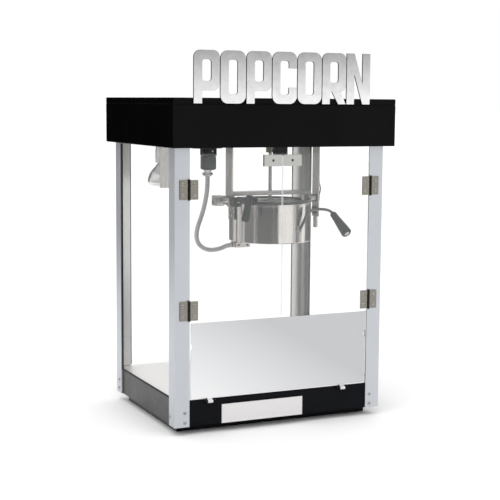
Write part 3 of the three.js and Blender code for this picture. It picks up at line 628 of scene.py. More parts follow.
# ---- stage and light
def make_stage():
    backdrop = Nodes("studio_paper")
    tone = backdrop.noise(0.8, 2.0)
    backdrop.drive(backdrop.ramp(tone, [(0.3, (0.96, 0.96, 0.96)), (0.7, (0.98, 0.98, 0.98))]), "Base Color")
    backdrop.set(Roughness=0.9, Specular_IOR_Level=0.1)
    mesh = bpy.data.meshes.new("studio_floor")
    reach = 60
    corners = [(-reach, -reach, 0), (reach, -reach, 0), (reach, reach, 0), (-reach, reach, 0)]
    mesh.from_pydata(corners, [], [(0, 1, 2, 3)])
    mesh.materials.append(backdrop.material)
    floor = placed("studio_floor", mesh)


CARD_RADIUS = 1.8
CARD_MIDDLE = (0.052, 0.0)
# Strips round the machine that only reflections see: first and last bearing in degrees, bottom, top, tone.
REFLECTION_CARDS = [
    (-150, -92, -0.05, 1.2, 0.04),
    (-189, -159, -0.05, 0.45, 0.10),
    (0, 62, -0.05, 0.30, 0.05),
    (100, 130, -0.05, 0.10, 0.54),
    (66, 119, 0.10, 0.30, 0.10),
    (100, 130, 0.30, 0.45, 0.54),
    (119, 130, 0.10, 0.30, 0.54),
    (98, 136, 0.46, 1.2, 0.02),
    (147, 171, -0.05, 0.45, 0.60),
    (-49, -16, -0.05, 0.45, 0.62),
]


def make_cards():
    for i, (start, end, bottom, top, tone) in enumerate(REFLECTION_CARDS):
        glow = Nodes(f"card_{i + 1}")
        glow.set(Base_Color=(0, 0, 0, 1), Emission_Color=(tone, tone, tone, 1), Emission_Strength=1.0,
                 Specular_IOR_Level=0.0, Roughness=1.0)
        steps = 12
        points = []
        for k in range(steps + 1):
            angle = math.radians(start + (end - start) * k / steps)
            x = CARD_MIDDLE[0] + CARD_RADIUS * math.cos(angle)
            y = CARD_MIDDLE[1] + CARD_RADIUS * math.sin(angle)
            points += [(x, y, bottom), (x, y, top)]
        faces = [(2 * k, 2 * k + 2, 2 * k + 3, 2 * k + 1) for k in range(steps)]
        mesh = bpy.data.meshes.new(f"card_{i + 1}")
        mesh.from_pydata(points, [], faces)
        mesh.materials.append(glow.material)
        card = placed(f"card_{i + 1}", mesh)
        for ray in ("camera", "diffuse", "transmission", "shadow"):
            setattr(card, f"visible_{ray}", False)


def make_light():
    """An even white studio with one wide soft light from above."""
    world = bpy.data.worlds.new("studio")
    scene.world = world
    world.use_nodes = True
    background = world.node_tree.nodes["Background"]
    background.inputs["Color"].default_value = (1, 1, 1, 1)
    background.inputs["Strength"].default_value = 1.0
    scene.view_settings.view_transform = "Standard"
    scene.view_settings.exposure = 0.0
    data = bpy.data.lights.new("soft_top", "SUN")
    data.energy = 0.8
    data.angle = math.radians(60)
    light = placed("soft_top", data)
    lean = Matrix.Rotation(math.radians(25), 4, "X")
    light.matrix_world = lean @ Matrix.Rotation(math.radians(-18), 4, "Y")


# ---- canopy, posts, panes, base
def make_canopy():
    """A folded cover with a seam below its top, open underneath, and cut out behind for its fittings."""
    (x0, x1), (y0, y1), (z0, z1) = limits("canopy_shell")
    seam = z1 - 11.5
    profile = [
        (14, z0 + 2.5), (14, z0), (0.6, z0), (0, z0 + 0.6), (0, seam - 0.5), (0.7, seam - 0.2),
        (0.7, seam + 0.4), (0.15, seam + 0.8), (0.15, z1 - 1.3), (0.55, z1 - 0.4), (1.5, z1), (3, z1),
    ]
    inner = [(3, z1 - 2.5), (2.5, z1 - 3), (2.5, z0 + 2.5)]
    builder = bmesh.new()

    def ring(inset, z):
        left, right, front, back = x0 + inset, x1 - inset, y0 + inset, y1 - inset
        corners = ((left, front), (right, front), (right, back), (left, back))
        return [builder.verts.new(mm(x, y, z)) for x, y in corners]

    def skin(rings):
        for lower, upper in zip(rings, rings[1:]):
            for i in range(4):
                j = (i + 1) % 4
                builder.faces.new((lower[i], lower[j], upper[j], upper[i]))

    outer_rings = [ring(*point) for point in profile]
    inner_rings = [ring(*point) for point in inner]
    skin(outer_rings)
    skin(inner_rings)
    skin([inner_rings[-1], outer_rings[0]])
    builder.faces.new(outer_rings[-1])
    builder.faces.new(list(reversed(inner_rings[0])))
    canopy = finish_mesh("canopy_cover", builder, "cabinet", "black_paint", "black_paint", 25)
    cutters = []
    through_back = (y1 - 6, y1 + 4)
    for i in (1, 2, 3):
        (sx0, sx1), _, (sz0, sz1) = limits(f"rocker_switch_{i}")
        cutters.append(cutter(f"cut_{i}", (sx0 - 1, sx1 + 1), through_back, (sz0 - 2, sz1 + 2)))
    (ix0, ix1), _, (iz0, iz1) = limits("power_inlet")
    cutters.append(cutter("cut_inlet", (ix0 + 7.5, ix1 - 7.5), through_back, (iz0 + 3.5, iz1 - 3.5)))
    carved(canopy, cutters)
    # The canopy's sides take a darker, glossless copy of its paint: painted shade.
    second_finish(canopy, "side_painted_shade", lambda polygon: abs(polygon.normal.x) > 0.9)
    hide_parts("canopy_shell")


def bevelled(node, material, width=0.5, segments=2):
    """Keeps a CAD node's shape, softens its edges and gives it its finish."""
    piece = nodes[node]
    piece.data.materials.clear()
    piece.data.materials.append(materials[material])
    if width:
        modifier = piece.modifiers.new("soft_edges", "BEVEL")
        modifier.width = width * MM
        modifier.segments = segments
        modifier.limit_method = "ANGLE"
        modifier.angle_limit = math.radians(40)
        modifier.use_clamp_overlap = True
    return piece


def make_posts():
    for side_y, finish in (("front", "post_aluminium"), ("rear", "rear_post_steel")):
        for side_x in ("left", "right"):
            bevelled(f"{side_y}_{side_x}_post", finish, 0.9, 3)
    # The rear left post's outer leg takes the front posts' finish.
    second_finish(nodes["rear_left_post"], "post_aluminium", lambda polygon: polygon.normal.x < -0.9)
    (x0, _), (y0, _), _ = limits("front_left_post")
    half_x, half_y = -x0, -y0
    for side in (-1, 1):
        x = side * (half_x - 19.5)
        for z in (42, 24):
            put_screw(f"post_front_screw_{side + 2}_{z}", (x, -half_y - 0.05, z), FRONT, "cabinet", 20 + z)
            put_screw(f"post_back_screw_{side + 2}_{z}", (x, half_y + 0.05, z), BACK, "cabinet", 5 + z)
        x, outward = side * (half_x + 0.05), (side, 0, 0)
        put_screw(f"post_side_front_screw_{side + 2}", (x, -134.8, 32), outward, "cabinet", 30)
        for z in (42, 25.5):
            name = f"post_side_back_screw_{side + 2}_{int(z)}"
            put_screw(name, (x, 144.5, z), outward, "cabinet", 3 * z)


POST_LEG = 28.5


def make_gaskets():
    """Black glazing strips outside the panes: beside the rear posts and along the top of the base."""
    left_x = limits("left_side_glass")[0]
    rear_y = limits("rear_glass")[1]
    top = limits("left_side_glass")[2][1]
    (x0, _), (_, y1), _ = limits("rear_left_post")
    inner_y = y1 - POST_LEG
    inner_x = -x0 - POST_LEG
    for side, name in ((-1, "left"), (1, "right")):
        across = between(side * 209.2, side * (-left_x[0] + 0.05))
        builder = bmesh.new()
        add_block(builder, across, (inner_y - 5.2, inner_y - 0.2), (68.3, top), 0.6, 2)
        add_block(builder, across, (-inner_y + 0.2, inner_y - 0.2), (64.6, 68.0), 0.6, 2)
        finish_mesh(f"{name}_pane_gasket", builder, "cabinet", *SEAL)
    builder = bmesh.new()
    for side in (-1, 1):
        across = between(side * (inner_x - 0.2), side * (inner_x - 2.2))
        add_block(builder, across, (rear_y[1] + 0.05, 159.2), (68.3, top), 0.6, 2)
    finish_mesh("rear_pane_gasket", builder, "cabinet", *SEAL)


def make_panes():
    for node in ("left_side_glass", "right_side_glass", "rear_glass", "left_door_glass", "right_door_glass"):
        bevelled(node, "clear_panel", 0.4, 2)
    for side, name in ((-1, "left"), (1, "right")):
        (x0, x1), (y0, _), (z0, _) = limits(f"{name}_door_glass")
        edge = x1 if side < 0 else x0
        height = (z0 + 1, limits(f"{name}_strike_plate")[2][0] - 1)
        block(f"{name}_door_edge", between(edge, edge + side), (y0 - 0.25, y0 + 0.2), height,
              f"{name}_door", "clear_panel", "pane_edge", 0.1)


def make_base():
    pan = bevelled("base_pan", "base_paint", 0.6, 2)
    # The pan's front and back faces take a duller, darker copy of its paint: painted shade.
    second_finish(pan, "front_painted_shade", lambda polygon: abs(polygon.normal.y) > 0.9)
    bevelled("deck_plate", "deck_steel", 0.3, 1)
    bevelled("ceiling_plate", "ceiling_steel", 0.3, 1)
    profile = [
        (0, 0), (8.2, 0), (9.2, 0.5), (10, 1.8), (9.6, 3.2), (8.4, 6), (8, 8), (8, 15.2), (7.4, 15.7),
        (0, 15.7),
    ]
    for corner in ("front_left", "front_right", "rear_left", "rear_right"):
        x, y, _ = centre(f"{corner}_foot")
        foot = turned(f"{corner}_rubber_foot", profile, "cabinet", "foot_rubber", "foot_rubber", at(x, y, 0))
        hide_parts(f"{corner}_foot")


# ---- doors, hinges, panel, drawer
def leaf_plate(name, inner, outer, y, z0, z1, body):
    """One hinge leaf's sheet with two countersunk screws."""
    outline = rounded(*between(inner, outer), z0, z1, 1.2)
    plate(name, [outline], 1.6, facing_front(y), body, *NICKEL, 0.3)
    middle = (inner + outer) / 2 + (0.8 if outer > inner else -0.8)
    level = (z0 + z1) / 2
    for i, dz in enumerate((-9.5, 9.5)):
        put_screw(f"{name}_screw_{i + 1}", (middle, y - 0.75, level + dz), FRONT, body, 35 * i + inner, 0.95)


# How far a hinge leaf's near and far edges are from its pin.
LEAF_REACH = (2.55, 17.5)


def make_hinges():
    for side, name in ((-1, "left"), (1, "right")):
        for level in ("upper", "lower"):
            hinge, door = f"{name}_{level}", f"{name}_door"
            pin_x, pin_y, _ = centre(f"{hinge}_hinge_pin")
            pz0, pz1 = limits(f"{hinge}_hinge_pin")[2]
            bottom, top = pz0 + 1.3, pz1 - 1.3
            slot = (top - bottom) / 5
            leaf_y = pin_y + 1.4
            near, far = side * LEAF_REACH[0], side * LEAF_REACH[1]
            leaf_plate(f"{hinge}_post_leaf_sheet", pin_x + near, pin_x + far, leaf_y, bottom, top, "cabinet")
            leaf_plate(f"{hinge}_door_leaf_sheet", pin_x - near, pin_x - far, leaf_y, bottom, top, door)
            for owner, body, own in (("post", "cabinet", (0, 2, 4)), ("door", door, (1, 3))):
                builder = bmesh.new()
                toward = side if owner == "post" else -side
                for i in own:
                    z0 = bottom + i * slot + 0.15
                    z1 = z0 + slot - 0.3
                    outline = [
                        (1.2, z0), (1.9, z0), (2.2, z0 + 0.3), (2.2, z1 - 0.3), (1.9, z1), (1.2, z1),
                        (1.2, z0),
                    ]
                    add_turned(builder, outline, at(pin_x, pin_y, 0), 24)
                    across = between(pin_x + toward * 1.4, pin_x + toward * (LEAF_REACH[0] + 0.4))
                    add_block(builder, across, (leaf_y - 0.75, leaf_y + 0.75), (z0 + 0.1, z1 - 0.1), 0.15, 1)
                piece_name = f"{hinge}_{owner}_knuckles"
                # The knuckles are painted near black: painted shadow along the hinge line.
                knuckles = finish_mesh(piece_name, builder, body, "hinge_nickel", "knuckle_painted_shadow")
                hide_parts(f"{hinge}_{owner}_leaf")
            profile = [
                (0, pz0), (1.5, pz0), (2, pz0 + 0.4), (2, pz0 + 1), (1, pz0 + 1.1), (1, pz1 - 1.1),
                (2, pz1 - 1), (2, pz1 - 0.4), (1.5, pz1), (0, pz1),
            ]
            place = at(pin_x, pin_y, 0)
            # The pin is painted near black: painted shadow along the hinge line.
            pin = turned(f"{hinge}_pin", profile, "cabinet", "hinge_nickel", "dark_metal_and_painted_shadow", place, 20)
            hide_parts(f"{hinge}_hinge_pin")


def make_strikes():
    for name in ("left", "right"):
        (x0, x1), (y0, y1), (z0, z1) = limits(f"{name}_strike_plate")
        middle, level, body = (x0 + x1) / 2, (z0 + z1) / 2, f"{name}_door"
        loops = [rounded(x0, x1, z0, z1, 1.0), circle(middle, level, 2.4)]
        frame_ = facing_front((y0 + y1) / 2)
        strike = plate(f"{name}_strike", loops, 1.5, frame_, body, "hinge_nickel", "strike_nickel", 0.3)
        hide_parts(f"{name}_strike_plate")
        put_screw(f"{name}_strike_screw", (middle, y1 - 0.3, level), FRONT, body, 30, 0.7, dark_screw)
    (x0, _), (y0, y1), z = limits("left_strike_plate")
    x = (x0 - 1.6, x0 - 0.1)
    block("strike_spring", x, (y0 + 0.1, y1), z, "left_door", "hinge_nickel", "dark_metal_and_painted_shadow", 0.2)
    (x0, x1), (y0, y1), (z0, z1) = limits("magnetic_catch")
    builder = bmesh.new()
    add_block(builder, (x0, x1), (y0, y1), (z0 + 1.5, z1), 1.0, 3)
    add_block(builder, (x0 + 3, x1 - 3), (y0 + 2, y1 - 2), (z0, z0 + 3), 0.5, 2)
    catch = finish_mesh("magnet_case", builder, "cabinet", *BLACK)
    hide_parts("magnetic_catch")


PANEL_TAB_CENTRES = (-142, 130)
PANEL_FRONT = -160
PANEL_PIVOT = (-161.5, 60)


def make_front_panel():
    """The drop-down sheet: notched sides, and two tabs that hook round the pivots."""
    (_, half), _, (_, z1) = limits("drop_panel")
    bottom, notch_r, notch_z = 66.6, 8.0, 161.0
    notch_x = half + notch_r - 3.5
    swing = math.degrees(math.acos((notch_x - half) / notch_r))
    loop = [(half, bottom)]
    loop += arc((notch_x, notch_z), notch_r, 180 + swing, 180 - swing, 12)
    loop += [(half, z1), (-half, z1)]
    loop += arc((-notch_x, notch_z), notch_r, swing, -swing, 12)
    loop += [(-half, bottom)]
    for x in PANEL_TAB_CENTRES:
        loop += [(x - 5, bottom), (x - 5, 62), (x + 5, 62), (x + 5, bottom)]
    # The sheet's finish carries a painted reflection, lighter towards its lower left.
    sheet = plate("front_panel_sheet", [loop], 1.5, facing_front(PANEL_FRONT + 0.75), "front_panel",
                  "satin_stainless", "panel_painted_sheen", 0.3)
    builder = bmesh.new()
    frame_ = Matrix.Translation(mm(0, *PANEL_PIVOT)) @ Matrix.Rotation(math.radians(90), 4, "Y")
    for x in PANEL_TAB_CENTRES:
        outline = [
            (1.9, x - 5), (3.1, x - 5), (3.4, x - 4.7), (3.4, x + 4.7), (3.1, x + 5), (1.9, x + 5),
            (1.9, x - 5),
        ]
        add_turned(builder, outline, frame_, 28)
    finish_mesh("front_panel_eyes", builder, "front_panel", "satin_stainless", "satin_stainless")
    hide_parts("drop_panel")
    # A black strip stands in the gap beside the panel's right edge: painted shade.
    block("right_panel_gap_shade", (179.7, 181.1), (-156.5, -155.5), (bottom + 2, z1), "cabinet", *SEAL, 0.2)


def make_drawer():
    bevelled("drawer_tray", "satin_stainless", 0.5, 2)


# ---- sign
def make_sign():
    (x0, x1), (y0, y1), (z0, z1) = limits("sign_letters")
    width, stroke, height = 49.0, 16.0, z1 - z0
    pitch = (x1 - x0 - width) / 6
    bowl = 0.42 * height

    def bar(u0, v0, u1, v1):
        return [(u0, v0), (u1, v0), (u1, v1), (u0, v1)]

    def letter_o():
        return [rounded(0, width, 0, height, 14), rounded(stroke, width - stroke, stroke, height - stroke, 5)]

    def letter_c():
        gap_low, gap_high = height / 2 - 17, height / 2 + 17
        outer = arc((width - 14, height - 14), 14, 0, 90) + arc((14, height - 14), 14, 90, 180)
        outer += arc((14, 14), 14, 180, 270) + arc((width - 14, 14), 14, 270, 360)
        inner = arc((width - stroke - 5, stroke + 5), 5, 0, -90) + arc((stroke + 5, stroke + 5), 5, 270, 180)
        inner += arc((stroke + 5, height - stroke - 5), 5, 180, 90)
        inner += arc((width - stroke - 5, height - stroke - 5), 5, 90, 0)
        low_end = [(width, gap_low), (width - stroke, gap_low)]
        return [outer + low_end + inner + [(width - stroke, gap_high), (width, gap_high)]]

    def letter_p(leg=()):
        low = bowl - stroke
        outer = [(0, 0), (stroke, 0), (stroke, low), *leg]
        outer += arc((width - 12, low + 12), 12, -90, 0) + arc((width - 12, height - 12), 12, 0, 90)
        outer += arc((12, height - 12), 12, 90, 180)
        return [outer, rounded(stroke, width - stroke, bowl, height - stroke, 5)]

    def letter_r():
        low = bowl - stroke
        return letter_p([(20, low), (width - stroke, 0), (width, 0), (20 + stroke + 2, low)])

    def letter_n():
        return [[
            (0, 0), (stroke, 0), (stroke, height - 38), (width - stroke, 0), (width, 0), (width, height),
            (width - stroke, height), (width - stroke, 38), (stroke, height), (0, height),
        ]]

    letters = (letter_p, letter_o, letter_p, letter_c, letter_o, letter_r, letter_n)
    middle_y = (y0 + y1) / 2
    first = None
    for i, letter in enumerate(letters):
        loops = [[(x0 + i * pitch + u, z0 + v) for u, v in loop] for loop in letter()]
        # The letters' faces carry a painted chrome reflection, light below and dark above.
        piece = plate(f"sign_letter_{i + 1}", loops, y1 - y0, facing_front(middle_y), "cabinet",
                      "sign_steel", "sign_steel", 0.45)
        second_finish(piece, "sign_edge", lambda polygon: abs(polygon.normal.y) <= 0.9)
        first = first or piece
    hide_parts("sign_letters")
    block("sign_rail", (x0 + 4, x1 - 4), (y1 - 0.9, y1), (z0 + 1.5, z0 + 8.5), "cabinet",
          "black_paint", "black_paint", 0.2)


# ---- kettle
def make_kettle():
    (x0, x1), _, (z0, z1) = limits("kettle_drum")
    cx, cy, _ = centre("kettle_drum")
    radius = (x1 - x0) / 2
    side_r, bore = radius - 0.3, radius - 2.5
    profile = [
        (0, z0), (radius - 6, z0), (radius - 2.2, z0 + 0.4), (radius - 0.7, z0 + 1.2), (side_r, z0 + 2),
        (side_r, z0 + 2.6), (side_r, z1 - 5), (side_r, z1 - 4.2), (radius, z1 - 3.6), (radius, z1 - 0.9),
        (radius - 0.9, z1), (radius - 1.9, z1), (bore, z1 - 0.8), (bore, z0 + 17), (radius - 7, z0 + 12.6),
        (radius - 12, z0 + 12), (0, z0 + 12),
    ]
    steel = "kettle_stainless"
    drum = turned("kettle_shell", profile, "kettle", steel, steel, at(cx, cy, 0), 128, 24)
    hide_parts("kettle_drum")
    loops = [rounded(cx - 77.3, cx + 77.3, -11.9, 11.9, 1), circle(cx, 0, 4.5)]
    plate("kettle_bridge", loops, 2.0, at(0, 0, z1 - 1.1), "kettle", "kettle_stainless", "rod_steel", 0.3)
    bevelled("kettle_yoke", "yoke_steel", 0.7, 3)
    (yx0, yx1), _, (yz0, _) = limits("kettle_yoke")
    for side, x in ((-1, yx0), (1, yx1)):
        for i, (y, z) in enumerate(((-6, yz0 + 8), (6, yz0 + 8), (0, yz0 + 20))):
            name = f"yoke_rivet_{side + 2}_{i + 1}"
            put_screw(name, (x + side * 0.02, y, z), (side, 0, 0), "kettle", 40 * i, 0.85)


def make_trunnions():
    (x0, x1), (y0, y1), (z0, z1) = limits("left_trunnion")
    level = (z0 + z1) / 2
    builder = bmesh.new()
    add_block(builder, (x0, x0 + 18), (y0, y1), (z0, z1), 1.6, 4)
    left = finish_mesh("trunnion_block", builder, "kettle", *HANGER)
    shoulder = x1 - (limits("left_hanger")[0][1] - 4 - 0.3)
    inner_end = x1 - x0 - 18
    profile = [
        (0, 0.1), (5.6, 0.1), (6, 0.5), (6, shoulder), (8.2, shoulder), (9, shoulder + 0.8),
        (9, inner_end - 1), (8.2, inner_end), (0, inner_end),
    ]
    turned("left_trunnion_pin", profile, "kettle", *HANGER, at(x1, 0, level, (-1, 0, 0)), 40)
    put_screw("trunnion_block_screw", (x0 + 9, y0 - 0.02, level), FRONT, "kettle", 45, 1.1)
    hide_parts("left_trunnion")
    (rx0, rx1), _, _ = limits("right_trunnion")
    span = rx1 - rx0
    profile = [
        (0, 0), (7.6, 0), (8, 0.4), (8, span - 8.7), (6, span - 8.6), (6, span - 3.7), (7.2, span - 3.7),
        (8, span - 3.2), (8, span - 1), (7, span), (0, span),
    ]
    right = turned("right_trunnion_pin", profile, "kettle", *HANGER, at(rx0, 0, level, (1, 0, 0)), 40)
    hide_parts("right_trunnion")


HANDLE_ROUTE = [
    (26.4, -79.6, -52), (33, -80.6, -39), (41, -81, -23), (49, -80.8, -17.5), (60, -80.5, -15.6),
    (74, -80.5, -15.8), (83, -81, -17.3), (89, -82.6, -19.6), (92.3, -85.8, -23),
]
GRIP_START, GRIP_END = (92.7, -87.1, -24.2), (102, -128, -59.5)
AXIS_HEIGHT = 409.0


def kettle_frame():
    """Where the kettle's middle and trunnion axis are, in millimetres."""
    return centre("kettle_drum")[0], 0.0, AXIS_HEIGHT


def grip_profile(length, start_r, end_r):
    """A moulded grip: collar, waisted start, swelling body, rounded end with a recess."""
    body = []
    for i in range(13):
        t = i / 12
        radius = start_r + (end_r - start_r) * (0.2 * t + 0.8 * t * t * (3 - 2 * t))
        body.append((radius, 3 + (length - 6) * t))
    return [(0, 0), (start_r - 1.2, 0), (start_r - 0.2, 0.9), *body, (end_r - 0.4, length - 1.4),
            (end_r - 1.8, length), (end_r - 3.6, length), (end_r - 4.4, length - 1.4), (0, length - 1.4)]


def make_handles():
    cx, cy, axis_z = kettle_frame()
    route = [mm(cx + x, cy + y, axis_z + z) for x, y, z in HANDLE_ROUTE]
    path = resampled(smooth_path(route, 10), 1.6 * MM)
    rod = tube("dump_handle_rod", path, lambda _: 2.8 * MM, 20, "kettle", "kettle_stainless", "rod_steel")
    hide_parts("handle_rod")
    start = Vector((cx + GRIP_START[0], cy + GRIP_START[1], axis_z + GRIP_START[2]))
    end = Vector((cx + GRIP_END[0], cy + GRIP_END[1], axis_z + GRIP_END[2]))
    profile = grip_profile((end - start).length, 6.5, 10)
    grip = turned("dump_handle_grip", profile, "kettle", *BLACK, at(*start, end - start), 40)
    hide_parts("handle_grip")
    along = (end - start).normalized()
    profile = [(0, -1.2), (4.6, -1.2), (4.9, -0.9), (4.9, 0.1), (4.2, 0.3), (0, 0.3)]
    frame_ = at(*(end - along * 0.4), along)
    turned("dump_grip_cap", profile, "kettle", "kettle_stainless", "conduit_steel", frame_, 32)
    outward = Vector((*HANDLE_ROUTE[0][:2], 0)).normalized()
    profile = [(0, -1.5), (5.6, -1.5), (6, -1.1), (6, 1.2), (5.4, 1.7), (0, 1.7)]
    frame_ = at(cx + outward.x * 81.4, cy + outward.y * 81.4, axis_z - 53, outward)
    turned("dump_handle_foot", profile, "kettle", *HANGER, frame_, 32)
    make_lid_handle(cx, axis_z)


def make_lid_handle(cx, axis_z):
    """A black lever on the front lid: foot, arm over the rim, lobe beside the drum, and hanging grip."""
    z0, z1 = axis_z - 9, axis_z + 9
    builder = bmesh.new()
    add_block(builder, (cx - 59, cx - 50), (-50, -38), (axis_z - 3.1, z1), 0.8, 3)
    add_block(builder, (cx - 102.8, cx - 50.2), (-51.8, -38.2), (axis_z + 0.2, z1 - 0.2), 1.8, 4)
    add_block(builder, (cx - 103, cx - 85), (-54, -38), (z0, z1), 2.6, 4)
    add_block(builder, (cx - 95.4, cx - 87.6), (-104.5, -53), (axis_z + 1.2, axis_z + 11), 1.8, 4)
    lever = finish_mesh("lid_lever", builder, "front_lid_half", *BLACK)
    top, foot = Vector((cx - 91.5, -105, axis_z + 17)), Vector((cx - 101.5, -105, axis_z - 31.5))
    profile = grip_profile((foot - top).length, 6.4, 7.4)
    turned("lid_lever_grip", profile, "front_lid_half", *BLACK, at(*top, foot - top), 36)
    put_screw("lid_lever_screw", (cx - 91.5, -54, axis_z + 1), FRONT, "front_lid_half", 30, 0.9)
    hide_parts("lid_handle")


def half_ring(inner, outer, start_y, side, cx):
    """The outline of a half disc or half ring beyond start_y; inner 0 gives the disc."""
    start = math.degrees(math.asin(start_y / outer))
    loop = arc((cx, 0), outer, start, 180 - start, 48)
    if inner:
        inner_start = math.degrees(math.asin(start_y / inner))
        loop += arc((cx, 0), inner, 180 - inner_start, inner_start, 48)
    return loop if side > 0 else [(u, -v) for u, v in reversed(loop)]


LID_RADIUS = 79.5
LID_HINGE = 14.2


def make_lids():
    cx, _, axis_z = kettle_frame()
    finish = ("kettle_stainless", "lid_stainless")
    barrel = [(0, -45), (1.3, -45), (1.6, -44.7), (1.6, 44.7), (1.3, 45), (0, 45)]
    for side, name in ((-1, "front"), (1, "rear")):
        z0 = limits(f"{name}_lid")[2][0]
        body = f"{name}_lid_half"
        outline = half_ring(0, LID_RADIUS, LID_HINGE, side, cx)
        lid = plate(f"{name}_lid_sheet", [outline], 1.2, at(0, 0, z0 + 0.6), body, *finish, 0.3)
        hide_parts(f"{name}_lid")
        height = axis_z - 0.2 - z0
        outline = half_ring(LID_RADIUS - 1.6, LID_RADIUS, 18, side, cx)
        plate(f"{name}_lid_rim", [outline], height, at(0, 0, z0 + height / 2), body, *finish, 0.3)
        frame_ = at(cx, side * LID_HINGE, z0 + 1.6, (1, 0, 0))
        turned(f"{name}_lid_barrel", barrel, body, *HANGER, frame_, 20)


def make_terminal_cover():
    """The box under the drum that the conduit enters, with its lid's screws."""
    bevelled("terminal_cover", "hanger_steel", 0.8, 3)
    front = limits("terminal_cover")[1][0]
    level = centre("terminal_cover")[2]
    cx = kettle_frame()[0]
    for i, x in enumerate((cx - 72, cx - 54)):
        place = (x, front - 0.02, level)
        put_screw(f"terminal_screw_{i + 1}", place, FRONT, "kettle", 30 * i, 0.7, dark_screw)


def make_stirrer():
    cx = kettle_frame()[0]
    z0, z1 = limits("stirrer")[2]
    builder = bmesh.new()
    profile = [
        (0, z0), (3.2, z0), (3.5, z0 + 0.3), (3.5, z0 + 30), (3.5, z1 - 7), (2.8, z1 - 6.5), (0, z1 - 6.5),
    ]
    add_turned(builder, profile, at(cx, 0, 0), 32)
    add_block(builder, (cx - 1, cx + 1), (-4, 4), (z1 - 8, z1), 0.3, 2)
    add_block(builder, (cx - 62, cx + 62), (-4, 4), (z0 + 2.4, z0 + 6.4), 0.8, 3)
    add_block(builder, (cx - 62, cx - 56), (-4, 4), (z0 + 5, z0 + 17.4), 0.8, 3)
    profile = [(0, z0 + 6), (7, z0 + 6), (7, z0 + 13), (6, z0 + 14), (0, z0 + 14)]
    add_turned(builder, profile, at(cx, 0, 0), 32)
    shaft = finish_mesh("stirrer_shaft", builder, "stirring_paddle", *HANGER)
    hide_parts("stirrer")
    dz0, dz1 = limits("drive_coupling")[2]
    profile = [
        (0, dz0), (8.4, dz0), (9, dz0 + 0.6), (9, dz0 + 14.2), (8.2, dz0 + 15), (5, dz0 + 15), (5, dz1 - 0.5),
        (4.5, dz1), (0, dz1),
    ]
    hub = turned("drive_hub", profile, "drive_shaft", *NICKEL, at(cx, 0, 0), 36)
    carved(hub, [cutter("hub_slot", (cx - 1.3, cx + 1.3), (-12, 12), (dz0 - 1, dz0 + 7.5))])
    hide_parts("drive_coupling")


# ---- hung from the ceiling
def make_hangers():
    cx, _, axis_z = kettle_frame()
    (x0, x1), _, (_, z1) = limits("left_hanger")
    loop = [(14, z1), (-14, z1)] + arc((0, axis_z), 14, 180, 360, 24)
    bore = circle(0, axis_z, 6.5)
    left = plate("left_hanger_bar", [loop, bore], 4, facing_side(x1 - 2), "cabinet", *HANGER, 0.5)
    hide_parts("left_hanger")
    block("left_hanger_foot", (x0, x1 - 4), (-14, 14), (z1 - 3.5, z1), "cabinet", *HANGER, 0.7)
    (_, x1), _, (z0, z1) = limits("right_hanger")
    blade_x = cx + 101
    loop = rounded(-12, 12, axis_z - 37, z1, 1.5)
    right = plate("right_hanger_bar", [loop, bore], 4, facing_side(blade_x), "cabinet", *HANGER, 0.5)
    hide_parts("right_hanger")
    block("right_hanger_foot", (cx + 103, x1), (-12, 12), (z1 - 3.5, z1), "cabinet", *HANGER, 0.7)
    profile = [(0, z0), (3.8, z0), (4.5, z0 + 0.7), (4.5, z0 + 21), (4, z0 + 22), (0, z0 + 22)]
    turned("stop_tube", profile, "cabinet", "kettle_stainless", "strike_nickel", at(blade_x, 0, 0), 28)
    bends = ((103.8, z1 - 16), (103.8, axis_z + 48), (104.2, axis_z + 30), (107.4, axis_z + 20),
             (105.6, axis_z + 10), (104, axis_z + 5))
    path = smooth_path([mm(cx + dx, -8, z) for dx, z in bends], 8)
    tube("wire_clip", path, lambda _: 1.1 * MM, 10, "cabinet", "kettle_stainless", "dark_metal_and_painted_shadow")
    block("stop_block", (cx + 93, cx + 98.7), (-10, 2), (axis_z - 31, axis_z - 17), "cabinet",
          "black_plastic", "dark_metal_and_painted_shadow", 0.6)


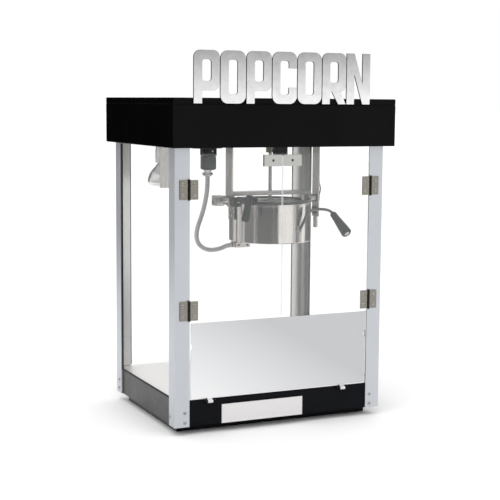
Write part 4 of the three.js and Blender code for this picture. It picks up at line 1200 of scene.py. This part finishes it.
def make_ceiling_fittings():
    (x0, x1), (y0, y1), (z0, z1) = limits("power_receptacle")
    builder = bmesh.new()
    add_block(builder, (x0 + 20, x1 - 10), (y0 + 3, y1 - 3), (z0, z1), 1.2, 3)
    add_block(builder, (x0, x1), (y0, y1), (509, 511), 0.5, 2)
    outlet = finish_mesh("ceiling_outlet", builder, "cabinet", *BLACK)
    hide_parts("power_receptacle")
    put_screw("outlet_screw", (x0 + 37, y0 + 2.95, z0 + 9), FRONT, "cabinet", 15, 0.65)
    lx, ly, _ = centre("lamp_bulb")
    lamp_axis = at(lx, ly, 0)
    z0, z1 = limits("lamp_bulb")[2]
    profile = [
        (31.4, z0 + 9), (31.5, z0 + 15), (28.5, z0 + 24), (23.5, z0 + 32), (17, z0 + 39), (13, z0 + 44.5),
        (13, z1), (0, z1), (0, z1 - 1), (11.5, z1 - 1), (11.5, z0 + 45), (22, z0 + 31), (29.5, z0 + 15),
        (29.6, z0 + 9), (31.4, z0 + 9),
    ]
    bulb = turned("lamp_mirror", profile, "cabinet", "lamp_glass", "lamp_mirror", lamp_axis, 64)
    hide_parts("lamp_bulb")
    profile = [
        (0, z0), (10, z0 + 0.3), (20, z0 + 1.4), (27, z0 + 3.6), (30.5, z0 + 6.6), (31.3, z0 + 9.2),
        (29, z0 + 9.4), (0, z0 + 9.4),
    ]
    turned("lamp_face", profile, "cabinet", "lamp_glass", "lamp_glass", lamp_axis, 64)
    z0, z1 = limits("lamp_socket")[2]
    profile = [
        (14, z0), (16.2, z0), (17, z0 + 0.8), (17, z0 + 6), (16.2, z0 + 6.6), (16.2, z0 + 8), (17, z0 + 8.6),
        (17, z0 + 22), (15, z1), (0, z1), (0, z0 + 12), (14, z0 + 12), (14, z0),
    ]
    socket = turned("lamp_holder", profile, "cabinet", "black_plastic", "conduit_steel", lamp_axis, 40)
    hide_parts("lamp_socket")
    bevelled("lamp_shield", "hanger_steel", 0.4, 2)


# How far in and out the switch bezels are, on the canopy's back.
BEZEL_DEPTH = (182.05, 183.6)


def make_hidden_works():
    """The gear motor in the canopy, and the fittings in its back."""
    (x0, x1), (y0, y1), (z0, z1) = limits("gear_motor")
    builder = bmesh.new()
    add_block(builder, (x0, x1), (y0, y1), (z0, z0 + 28), 2.5, 4)
    motor_x = kettle_frame()[0] + 12
    profile = [
        (0, z0 + 27), (29, z0 + 27), (29, z0 + 33), (28, z0 + 34), (28, z1 - 8), (29, z1 - 7), (29, z1 - 2),
        (27, z1), (0, z1),
    ]
    add_turned(builder, profile, at(motor_x, 0, 0), 48)
    motor = finish_mesh("motor_and_gearbox", builder, "cabinet", "motor_grey", "motor_grey")
    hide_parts("gear_motor")
    for i in (1, 2, 3):
        (sx0, sx1), _, (sz0, sz1) = limits(f"rocker_switch_{i}")
        bevelled(f"rocker_switch_{i}", "black_plastic", 0.8, 3)
        builder = bmesh.new()
        for x in ((sx0 - 3, sx0 - 0.8), (sx1 + 0.8, sx1 + 3)):
            add_block(builder, x, BEZEL_DEPTH, (sz0 - 4.5, sz1 + 4.5), 0.4, 2)
        for z in ((sz0 - 4.5, sz0 - 1.6), (sz1 + 1.6, sz1 + 4.5)):
            add_block(builder, (sx0 - 1.2, sx1 + 1.2), BEZEL_DEPTH, z, 0.4, 2)
        finish_mesh(f"rocker_bezel_{i}", builder, "cabinet", *BLACK)
    bevelled("power_inlet", "black_plastic", 0.6, 2)
    y0, y1 = limits("power_inlet")[1]
    middle, _, level = centre("power_inlet")
    builder = bmesh.new()
    for dx, dz in ((-6, -1.5), (6, -1.5), (0, 3)):
        x, z = middle + dx, level + dz
        add_block(builder, (x - 1, x + 1), (y0 + 6.5, y0 + 19), (z - 2, z + 2), 0.4, 2)
    finish_mesh("inlet_pins", builder, "cabinet", "hinge_nickel", "brass_pin")
    for dx in (-20, 20):
        put_screw(f"inlet_screw_{dx + 21}", (middle + dx, y1 - 0.3, level), BACK, "cabinet", dx, 0.8)


# ---- build everything
materials = make_materials()
make_camera()
screw = screw_mesh()
dark_screw = screw.copy()
dark_screw.materials[0] = materials["screw_black_and_slot_shade"]
make_cord()
make_stage()
make_light()
make_cards()
make_canopy()
make_posts()
make_gaskets()
make_panes()
make_base()
make_hinges()
make_strikes()
make_front_panel()
make_drawer()
make_sign()
make_kettle()
make_trunnions()
make_handles()
make_lids()
make_terminal_cover()
make_stirrer()
make_hangers()
make_ceiling_fittings()
make_hidden_works()
